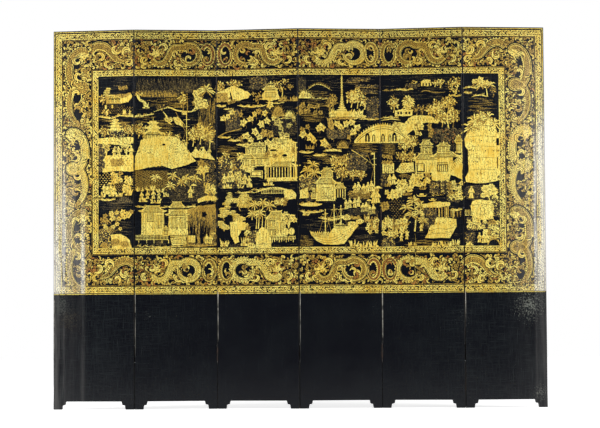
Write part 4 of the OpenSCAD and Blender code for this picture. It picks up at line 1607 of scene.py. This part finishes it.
group(bush, ((1668, 1210, 60, 34), (1720, 1212, 60, 30), (1776, 1214, 66, 34)), BRIGHT)


# ---- Landscape, fifth leaf ----
# The other half of the bridge, an arched hill over a cave, terraced halls with a stair, and
# a ship by a landing stage.

water(1822, 272, 2260, 400, 40, HAZE)
bank(1896, 2004, 342, 12, 2)
bank(1830, 1900, 346, 5, 1, OLD)
dotted_tree(2010, 336, 40, 46, OLD, BRIGHT, 40)
thicket(1960, 310, 2040, 330, HAZE, OLD, 8)
mass(BRIGHT, [(2046, 326), (2046, 300), (2060, 290), (2100, 290), (2104, 326)])
for x in (2058, 2075, 2092):
    lay(BARE, [(x - 4, 324), (x - 4, 312), (x, 307), (x + 4, 312), (x + 4, 324)])
group(dotted_tree, (
    (2122, 330, 30, 34), (2152, 338, 52, 54), (2214, 352, 56, 60), (2244, 352, 50, 76),
    (2232, 378, 60, 40)
), BRIGHT, OLD, 50)
stroke(OLD, curve([(2040, 362), (2070, 350), (2110, 360), (2180, 364)]), 4, swell)
bank(2206, 2268, 382, 10, 2)
dotted_tree(1892, 470, 64, 92, BRIGHT, OLD, 60)
palm(1974, 460, 44, 44, 0, 13)
leaves(1950, 392, 1996, 450, 6, 17)
mass(BRIGHT, [(1900, 458), (1950, 450), (1998, 456), (1998, 488), (1900, 490)])
for x in (1918, 1934, 1962, 1980):
    box(BARE, x - 5, 466, x + 5, 480)
group(dotted_tree, ((2020, 486, 44, 56), (2050, 484, 36, 50), (2084, 482, 36, 56)), OLD, HAZE, 56)
group(dotted_tree, (
    (2140, 500, 90, 96), (2196, 480, 90, 100), (2220, 560, 84, 110), (2160, 556, 96, 84),
    (2100, 500, 50, 60)
), OLD, BRIGHT, 110)
trunk([(2196, 566), (2190, 500), (2200, 430)], 9, BRIGHT)
bank(1817, 1922, 500, 8, -4)
stroke(BRIGHT, [(1822, 512), (1880, 504), (1930, 512)], 7, swell)
stroke(BRIGHT, curve([(2040, 500), (2090, 500), (2124, 524), (2144, 520)]), 22, swell)
mass(BRIGHT, [
    (1884, 540), (1900, 520), (1950, 530), (1990, 490), (2050, 486), (2102, 506), (2110, 530),
    (2050, 530), (1996, 570), (1960, 600)
])
leaves(2000, 536, 2056, 596, 6, 18)
leaves(2080, 540, 2108, 610, 4, 18, OLD)
for x in range(1966, 2120, 15):
    stroke(BARE, [(x, 506), (x + 4, 516)], 2.2)
palm(1906, 560, 16, 28)
thicket(2112, 566, 2262, 646, HAZE, RED, 12)
water(1822, 642, 1900, 704, 16)
group(
    dotted_tree, ((1950, 700, 84, 92), (1996, 690, 70, 96), (1936, 752, 70, 66), (1984, 760, 80, 70)),
    OLD, BRIGHT, 90
)
mass(BRIGHT, [(2012, 722), (2217, 716), (2217, 810), (2010, 808)], 1.2, 30)
roof(2066, 734, 156, 36)
roof(2176, 722, 190, 32)
hall(2072, 702, 62, 60, 3, 1)
roof(2072, 656, 80, 32)
hall(2168, 700, 70, 66, 3, 1)
lattice(2017, 754, 2060, 794, 8)
lattice(2130, 750, 2188, 794, 8)
for x in (2070, 2086, 2104, 2118, 2200):
    box(BARE, x, 744, x + 1.6, 802)
hall(2250, 702, 40, 108, 1)
box(BARE, 2206, 644, 2236, 692)
for x in (2212, 2221, 2230):
    stroke(HAZE, [(x, 648), (x, 690)], 2)
mass(BRIGHT, [(2190, 812), (2210, 770), (2236, 740), (2270, 700), (2270, 850), (2230, 830)])
for k in range(9):
    stroke(BARE, [(2202 + k * 7.4, 786 - k * 8.4), (2212 + k * 7.4, 800 - k * 8.4)], 1.8)
fence(2196, 2268, 780, 14, 9, BRIGHT, -62)
mass(BRIGHT, [(2096, 770), (2200, 766), (2206, 812), (2196, 858), (2150, 846), (2102, 812)])
box(BARE, 2132, 762, 2192, 802)
for k in range(5):
    box(BRIGHT, 2136 + k * 11, 766, 2143 + k * 11, 799)
box(BARE, 2018, 760, 2062, 804)
box(BRIGHT, 2024, 760, 2056, 796)
mass(BRIGHT, [(1900, 796), (1930, 752), (2000, 748), (2004, 800), (1930, 806)])
speckle(1910, 760, 1998, 800, 15, BARE, 3)
box(BRIGHT, 1828, 750, 1892, 806)
lattice(1838, 764, 1882, 800, 11)
leaves(1828, 704, 1884, 756, 6, 17, OLD)
for share in (0.5, 0.75, 1.0):
    rim = [
        (1950 + 38 * share * math.cos(a), 838 + 26 * share * math.sin(a))
        for a in (k * 0.6283 for k in range(6, 11))
    ]
    stroke(OLD, rim, 2.6)
thicket(1822, 806, 1850, 874, HAZE, OLD, 10)
group(person, ((1868, 872, 62), (1890, 868, 60), (1996, 866, 60), (2016, 872, 62)))
leaves(2002, 820, 2084, 880, 8, 22)
leaves(1908, 850, 1992, 906, 8, 23)
leaves(1844, 890, 1928, 944, 8, 23)
group(bush, ((1856, 880, 40), (1960, 930, 60), (2050, 900, 40)), 18, OLD)
mass(BRIGHT, [(2098, 816), (2150, 806), (2200, 812), (2196, 856), (2140, 860), (2104, 846)])
thicket(2090, 856, 2196, 932, OLD, BRIGHT, 11)
trunk([(2142, 940), (2148, 900), (2140, 866)], 6, BARE)
thicket(2190, 872, 2268, 966, BRIGHT, OLD, 11)
leaves(2196, 856, 2266, 960, 12, 19)
fence(2206, 2262, 900, 10, 9)
group(boat, ((2044, 930, 62), (2104, 956, 48)))
trunk([(2004, 1130), (2010, 1060), (2004, 980)], 9, BRIGHT)
palm(2000, 966, 0, 46, 0, 11)
group(palm, ((1960, 1000), (2036, 990), (1984, 1040), (2030, 1030)), 0, 38, 0, 9)
leaves(1822, 968, 1872, 1006, 4, 20, OLD)
speckle(1870, 950, 1950, 1050, 16, OLD, 2.6)
mass(BRIGHT, [(2048, 980), (2120, 966), (2202, 972), (2200, 992), (2120, 1000), (2052, 998)])
bank(2196, 2268, 1014, 14, 4)
for x in range(2070, 2264, 17):
    box(OLD, x - 3, 994 + (x > 2190) * 26, x + 3, 1052)
thicket(2060, 1004, 2120, 1096, HAZE, OLD, 11)
mass(BRIGHT, [
    (2118, 1064), (2128, 1052), (2180, 1056), (2234, 1066), (2236, 1104), (2214, 1140), (2196, 1168),
    (2060, 1168),
    (2078, 1140), (2088, 1098), (2112, 1096)
], 1.5, 24)
stroke(BARE, curve([(2084, 1130), (2130, 1116), (2180, 1120), (2220, 1108)]), 1.8)
stroke(BARE, curve([(2076, 1150), (2130, 1140), (2180, 1142), (2208, 1130)]), 1.8)
for x, y in ((2124, 1086), (2142, 1090), (2160, 1082), (2086, 1124), (2100, 1136)):
    lay(BARE, placed(DOT, x, y, 3.4))
for at, top in ((2140, 1010), (2180, 1000), (2216, 1016)):
    box(BRIGHT, at - 2.4, top, at + 2.4, 1060)
group(
    dotted_tree,
    ((1856, 1130, 70, 84), (1900, 1150, 84, 90), (1944, 1130, 70, 80), (1880, 1180, 80, 60)), OLD,
    BRIGHT, 84
)
leaves(1826, 1052, 1970, 1150, 20, 19)
thicket(1824, 1160, 1892, 1210, OLD, BRIGHT, 11)
group(person, ((2040, 1128), (1930, 1180), (1960, 1172), (2046, 1062)), 40)
palm(2050, 1100, 30, 28)
water(1900, 1180, 2262, 1210, 20)
group(
    bush, ((2120, 1212, 60, 22), (2180, 1212, 70, 28), (2230, 1208, 50, 30), (1990, 1208, 60, 20)),
    BRIGHT
)


# ---- Landscape, sixth leaf ----
# Trees on far banks, then the largest palace, under palms, and below it a pavilion among
# cloud-like trees.

leaf_touch(2366, 296, 27, 0.5, BRIGHT)
leaf_touch(2340, 300, 20, 1.5, BRIGHT)
group(palm, ((2346, 312), (2372, 330), (2400, 318), (2426, 322)), 0, 30, 0, 9)
trunk([(2408, 388), (2404, 350), (2396, 320)], 7, BRIGHT)
bank(2274, 2350, 342, 10, -6)
bank(2274, 2320, 366, 9, 3)
bank(2320, 2414, 390, 8, -10)
dotted_tree(2440, 392, 44, 60, OLD, HAZE, 50)
water(2276, 398, 2466, 480, 24)
mass(BRIGHT, [
    (2288, 600), (2300, 546), (2318, 512), (2350, 492), (2398, 506), (2444, 516), (2456, 560),
    (2460, 584), (2473, 588),
    (2473, 850), (2430, 862), (2340, 868), (2286, 862), (2280, 836), (2298, 806), (2297, 684),
    (2280, 660), (2278, 622)
], 1.6, 18)
for x, y, reach in ((2311, 566, 46), (2336, 528, 50), (2370, 504, 46), (2408, 508, 40), (2448, 536, 34)):
    palm(x, y, 0, reach, 0, 11)
for level in (548, 606, 662, 724, 790):
    stroke(BARE, curve([(2304, level + 6), (2370, level), (2462, level + 5)], 4), 1.5)
    for x in range(2316, 2456, 23):
        spot = hand(x, level)
        box(BARE, x, level + 16 + spot.uniform(-3, 3), x + 1.5, level + 34 + spot.uniform(-6, 6))
        if spot.random() < 0.3:
            lay(BARE, placed(DOT, x + 10, level + 26, 3.0, 4.4))
for left, top, right, bottom in ((2456, 618, 2471, 658), (2459, 722, 2464, 786), (2463, 824, 2468, 836)):
    box(BARE, left, top, right, bottom)
speckle(2278, 880, 2466, 960, 9, HAZE, 3.6)
person(2312, 950, 70)
for x, y, size in (
    (2392, 898, 26), (2424, 888, 22), (2440, 912, 26), (2406, 926, 22), (2380, 934, 18), (2446, 948, 20)
):
    scallops = round_of(16, lambda k: 1.0 if k % 2 else 0.84)
    lay(BRIGHT, placed(scallops, x, y, size, size * 0.86))
    for k in range(-2, 3):
        stroke(BARE, [(x + k * 4, y + 6), (x + k * 5.6, y - 7)], 1.5)
trunk([(2418, 976), (2412, 950), (2400, 930)], 8, BRIGHT)
hall(2372, 1066, 112, 112, 4, 1)
mass(BRIGHT, [
    (2318, 964), (2370, 958), (2430, 966), (2440, 1000), (2436, 1062), (2376, 1072), (2324, 1058),
    (2310, 1000)
])
for x in (2342, 2362, 2384, 2404):
    box(BARE, x, 1002, x + 2, 1050)
stroke(BARE, curve([(2316, 990), (2372, 982), (2434, 990)]), 2)
fence(2278, 2320, 1044, 30, 9)
thicket(2436, 950, 2468, 1060, OLD, BRIGHT, 10)
thicket(2286, 1060, 2366, 1124, OLD, BRIGHT, 10)
leaves(2290, 1066, 2360, 1116, 8, 15)
thicket(2376, 1080, 2468, 1170, OLD, BRIGHT, 10)
leaves(2370, 1074, 2468, 1172, 14, 18)
speckle(2278, 1130, 2330, 1206, 11, HAZE, 3.4)
thicket(2278, 1140, 2320, 1206, OLD, HAZE, 11)
crowd(2348, 2404, 1196, 3, 54)
arch_rock(2436, 1210, 66, 36)
bush(2300, 1210, 50, 22, BRIGHT)

# The inner band frames the landscape and is laid over its ends.
gold_band(
    INNER_INSET, INNER_TOP, PICTURE_W - INNER_INSET, INNER_BOTTOM, INNER_W, BRIGHT, 5.8
)

# The crack in the fifth leaf opens the lacquer beside a joint of its boards.
crack = [(2005, 1140), (2009, 1176), (2003, 1220), (2007, 1262), (2002, 1310), (2006, 1360), (2003, 1420)]
stroke(BARE, crack, 4.0, swell)
stroke(BRIGHT, crack, 1.3, swell)


# ---- Gold ----
# The painter worked with several golds: bright leaf, older and greener powder, reddish gold
# on the dragons' scales, and powder dusted thinly for haze. All are rubbed by dusting.

# Each gold gives a soft metal sheen, paler and deeper patches, and spots where the lacquer shows through:
# few in the leaf, most of the surface in the dusted haze.
# On the outer sides it has pale washes that are a painted gloss highlight.
GOLDS = {}
for finish, name, pale, deep, under, bare, metal in (
    (BRIGHT, "gold_leaf_on_lacquer", "#fff080", "#dcb23a", "#4a3418", 0.595, 0.2),
    (OLD, "aged_gold_powder_on_lacquer", "#dcb74e", "#a07d2b", "#2c2114", 0.56, 0.25),
    (RED, "reddish_gold_powder_on_lacquer", "#cf9440", "#965c22", "#2c1a12", 0.56, 0.25),
    (HAZE, "thinly_dusted_gold_on_lacquer", "#a8914e", "#76643a", "#1c1a17", 0.46, 0.15),
):
    gold = new_material(name)
    where = add(gold, "TexCoord", {})
    place = where.outputs["Object"]
    split = add(gold, "SeparateXYZ", {0: place})
    clouds = add(
        gold, "TexNoise", {"Vector": place, "Scale": repeat(200), "Detail": 6.0, "Roughness": 0.68}
    )
    specks = add(
        gold, "TexNoise", {"Vector": place, "Scale": repeat(6.25), "Detail": 5.0, "Roughness": 0.7}
    )
    brushed = add(gold, "Mapping", {0: place, 3: (repeat(4.7619), repeat(4.7619), repeat(38.4615))})
    streaks = add(gold, "TexNoise", {"Vector": brushed, "Scale": 1.0, "Detail": 3.0})
    mixed = add(gold, "Math", {0: clouds, 1: streaks}, operation="ADD")
    patchy = add(gold, "MapRange", {0: mixed, 1: 0.78, 2: 1.2})
    tone = add(gold, "Mix", {0: patchy, 6: linear(deep), 7: linear(pale)}, data_type="RGBA")
    high = add(gold, "MapRange", {0: split.outputs[2], 1: 1.75, 2: 2.02, 4: 0.24})
    aged = add(gold, "Mix", {0: high, 6: tone.outputs[2], 7: linear("#6e5524")}, data_type="RGBA")
    # Pale washes on the outer sides are a painted gloss highlight on the gold.
    painted_sheen = add(gold, "Math", {0: painted_gloss_highlight(gold, place), 1: 0.85}, operation="MULTIPLY")
    gold_with_sheen = add(gold, "Mix", {0: painted_sheen, 6: aged.outputs[2], 7: linear("#f4eed2")}, data_type="RGBA")
    dusting = add(gold, "Math", {0: clouds, 1: 0.35, 2: specks}, operation="MULTIPLY_ADD")
    rubbed = add(gold, "MapRange", {0: dusting, 1: bare + 0.1, 2: bare + 0.22})
    colour = add(gold, "Mix", {0: rubbed, 6: gold_with_sheen.outputs[2], 7: linear(under)}, data_type="RGBA")
    dull = add(gold, "MapRange", {0: specks, 1: 0.3, 2: 0.7, 3: 0.38, 4: 0.55})
    relief = add(gold, "Bump", {"Strength": 0.25, "Distance": 0.0001, "Height": specks})
    shader = add(gold, "BsdfPrincipled", {
        "Base Color": colour.outputs[2], "Metallic": metal, "Roughness": dull,
        "Normal": relief, "Specular IOR Level": 0.25,
    })
    add(gold, "OutputMaterial", {0: shader})
    GOLDS[finish] = gold


# ---- The gilding as meshes ----
# On the real fronts the gold is powder and leaf on wet lacquer, thinner than paper. Each
# leaf has one sheet for each finish, cut along every line that the painter left open.

# In millimetres: the rounding of the arrises, the lines that bend the gold round them, how
# far each gold stands out, and the length of the picture that fills the square of the UVs.
ARRIS = 3.0
BENDS = (0.3, 0.6, 1.05, 1.65, 2.3, 3.0)
LIFT = {HAZE: 0.05, OLD: 0.1, RED: 0.1, BRIGHT: 0.15}
UV_SPAN = 1470.0
SEAM_SWAY = (PITCH * math.sin(TURN) - AXES_APART * math.cos(TURN)) / 2000


def over(points, outline):
    """Which of the points lie within an outline, counting how often it winds round each."""
    found = numpy.zeros(len(points), int)
    x, y = points[:, 0], points[:, 1]
    ends = numpy.roll(outline, -1, 0)
    for (x0, y0), (x1, y1) in zip(outline, ends):
        side = (x1 - x0) * (y - y0) - (y1 - y0) * (x - x0)
        found += (y0 <= y) & (y < y1) & (side > 0)
        found -= (y1 <= y) & (y < y0) & (side < 0)
    return found != 0


def cut(left):
    """Cuts one leaf's share of the picture into triangles, each with the finish on top there."""
    edge, right = BENDS[0], LEAF_W - BENDS[0]
    lower = PICTURE_BOTTOM + 20
    touches = [(BARE, numpy.array([(edge, ARRIS), (right, ARRIS), (right, lower), (edge, lower)]))]
    for finish, outline in picture:
        shape = numpy.array(outline) - (left, 0)
        if shape[:, 0].max() > edge and shape[:, 0].min() < right:
            touches.append((finish, shape))
    lines = [(x, y) for d in BENDS[1:] for x in (d, LEAF_W - d) for y in (ARRIS, lower)]
    points = numpy.concatenate([shape for _, shape in touches] + [numpy.array(lines)])
    edges = []
    for _, shape in touches:
        first, count = len(edges), len(shape)
        edges += [(first + k, first + (k + 1) % count) for k in range(count)]
    edges += [(k, k + 1) for k in range(len(edges), len(points), 2)]
    corners, _, faces, *_ = delaunay_2d_cdt([Vector(p) for p in points.tolist()], edges, [], 0, 1e-4, False)
    corners = numpy.array([tuple(p) for p in corners])
    faces = numpy.array([tuple(f) for f in faces if len(f) == 3])
    middles = corners[faces].mean(1)
    kept = over(middles, touches[0][1])
    faces, middles = faces[kept], middles[kept]
    order = numpy.argsort(middles[:, 1])
    faces, middles = faces[order], middles[order]
    finishes = numpy.full(len(faces), -1)
    kinds = list(LIFT)
    for finish, shape in touches[1:]:
        first, last = numpy.searchsorted(middles[:, 1], (shape[:, 1].min(), shape[:, 1].max()))
        near = numpy.arange(first, last)
        x = middles[near, 0]
        near = near[(x >= shape[:, 0].min()) & (x <= shape[:, 0].max())]
        if len(near):
            finishes[near[over(middles[near], shape)]] = -1 if finish is BARE else kinds.index(finish)
    return corners, faces, {finish: faces[finishes == k] for k, finish in enumerate(kinds)}


def leaf_place(leaf):
    """Where a leaf's front left lower corner is, in metres, as its left seam's hinge puts it."""
    odd = leaf % 2 == 1
    axis = -AXIS_OUT if odd else LEAF_DEEP + AXIS_OUT
    return (
        Matrix.Translation(((leaf - 1 - LEAVES / 2) * SEAM_STEP, SEAM_SWAY if odd else -SEAM_SWAY, 0))
        @ Matrix.Rotation(-TURN if odd else TURN, 4, "Z")
        @ Matrix.Translation((LEAF_GAP / 2000, -axis / 1000, 0))
    )


def on_face(u, v, lift):
    """Where a point of the picture lies on its leaf, also round the arrises at the seams."""
    centre = min(max(u, ARRIS), LEAF_W - ARRIS)
    lean = math.asin((u - centre) / ARRIS)
    reach = ARRIS + lift
    return Vector((centre + reach * math.sin(lean), ARRIS - reach * math.cos(lean), LEAF_H - v)) / 1000


for leaf in range(1, LEAVES + 1):
    corners, faces, sheets = cut((leaf - 1) * PITCH)
    place = leaf_place(leaf)
    for finish, chosen in sheets.items():
        if not len(chosen):
            continue
        used, numbers = numpy.unique(chosen, return_inverse=True)
        flat = corners[used]
        ready = [place @ on_face(u, v, LIFT[finish]) for u, v in flat.tolist()]
        mesh = bpy.data.meshes.new(f"leaf_{leaf}_{finish}_gold")
        mesh.from_pydata(ready, [], numbers.reshape(-1, 3).tolist())
        away = place.to_3x3() @ Vector((0, -1, 0))
        if mesh.polygons[0].normal.dot(away) < 0:
            mesh.flip_normals()
        layer = mesh.uv_layers.new(name="OFBake")
        spots = flat[[loop.vertex_index for loop in mesh.loops]]
        layer.data.foreach_set(
            "uv", (numpy.column_stack((spots[:, 0] / UV_SPAN, 1 - spots[:, 1] / UV_SPAN))).ravel()
        )
        sheet = bpy.data.objects.new(mesh.name, mesh)
        bpy.context.scene.collection.objects.link(sheet)
        mesh.materials.append(GOLDS[finish])
        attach(sheet, f"leaf_{leaf}")


# ---- Floor, white ground and light ----
# The screen stands in a white studio, on a plain pale floor that keeps its shadow, with two
# large soft lamps in front and a weaker one behind. The white ground is the world itself.

def glow(material, near, far, reach):
    """A white surface that shows to the camera and in reflections as a plain white ground."""
    where = add(material, "TexCoord", {})
    length = add(material, "VectorMath", {0: where.outputs["Object"]}, operation="LENGTH")
    away = add(
        material, "MapRange", {0: length.outputs["Value"], 1: reach[0], 2: reach[1], 3: near, 4: far}
    )
    path = add(material, "LightPath", {})
    either = add(
        material, "Math", {0: path.outputs["Is Camera Ray"], 1: path.outputs["Is Glossy Ray"]},
        operation="MAXIMUM"
    )
    seen = add(material, "Math", {0: either, 1: path.outputs["Is Transmission Ray"]}, operation="MAXIMUM")
    strength = add(material, "Math", {0: seen, 1: away}, operation="MULTIPLY")
    own = add(material, "Emission", {"Strength": strength})
    matt = add(material, "BsdfDiffuse", {"Color": linear("#e6e6e6")})
    both = add(material, "AddShader", {0: own, 1: matt})
    add(material, "OutputMaterial", {0: both})


def stage_plane(name, corners, material):
    mesh = bpy.data.meshes.new(name)
    mesh.from_pydata(corners, [], [(0, 1, 2, 3)])
    mesh.materials.append(material)
    plane = bpy.data.objects.new(name, mesh)
    bpy.context.scene.collection.objects.link(plane)


paper_floor = new_material("white_studio_floor")
glow(paper_floor, 0.69, 1.0, (1.6, 3.2))
FLOOR_REACH = 30.0
FLOOR_FRONT = -2.9
stage_plane("floor", [
    (-FLOOR_REACH, FLOOR_FRONT, 0), (FLOOR_REACH, FLOOR_FRONT, 0),
    (FLOOR_REACH, FLOOR_REACH, 0), (-FLOOR_REACH, FLOOR_REACH, 0),
], paper_floor)

world = bpy.data.worlds.new("white_studio")
world.use_nodes = True
world.node_tree.nodes.clear()
path = add(world, "LightPath", {})
level = add(world, "MapRange", {0: path.outputs["Is Camera Ray"], 3: 0.15, 4: 1.0})
air = add(world, "Background", {"Color": (1, 1, 1, 1), "Strength": level})
add(world, "OutputWorld", {0: air})
bpy.context.scene.world = world


def lamp(name, place, aim, wide, high, watts):
    light = bpy.data.lights.new(name, "AREA")
    light.shape = "RECTANGLE"
    light.size = wide
    light.size_y = high
    light.energy = watts
    holder = bpy.data.objects.new(name, light)
    holder.location = place
    holder.rotation_euler = (Vector(aim) - Vector(place)).to_track_quat("-Z", "Y").to_euler()
    bpy.context.scene.collection.objects.link(holder)


lamp("left_softbox", (-4.6, -3.6, 3.2), (0, 0, 1.1), 2.4, 2.4, 262)
lamp("right_softbox", (4.6, -3.6, 3.2), (0, 0, 1.1), 2.4, 2.4, 262)
lamp("back_softbox", (-3.0, 5.0, 3.4), (0, 0, 1.0), 2.0, 2.0, 80)


# ---- Camera ----
# A long lens, low and straight in front, as the screen is seen in the photograph.

CAMERA_PLACE = 0.2449, -12.0, 0.3826
CAMERA_TURN = 0.0199
CAMERA_RISE = 0.0573
CAMERA_ROLL = -0.0059

lens = bpy.data.cameras.new("camera")
lens.lens = 130.53
lens.sensor_width = 36.0
camera = bpy.data.objects.new("camera", lens)
camera.matrix_world = (
    Matrix.Translation(CAMERA_PLACE)
    @ Euler((0, 0, CAMERA_TURN)).to_matrix().to_4x4()
    @ Euler((math.pi / 2 + CAMERA_RISE, 0, 0)).to_matrix().to_4x4()
    @ Euler((0, 0, CAMERA_ROLL)).to_matrix().to_4x4()
)
bpy.context.scene.collection.objects.link(camera)
bpy.context.scene.camera = camera
bpy.context.scene.view_settings.view_transform = "Standard"
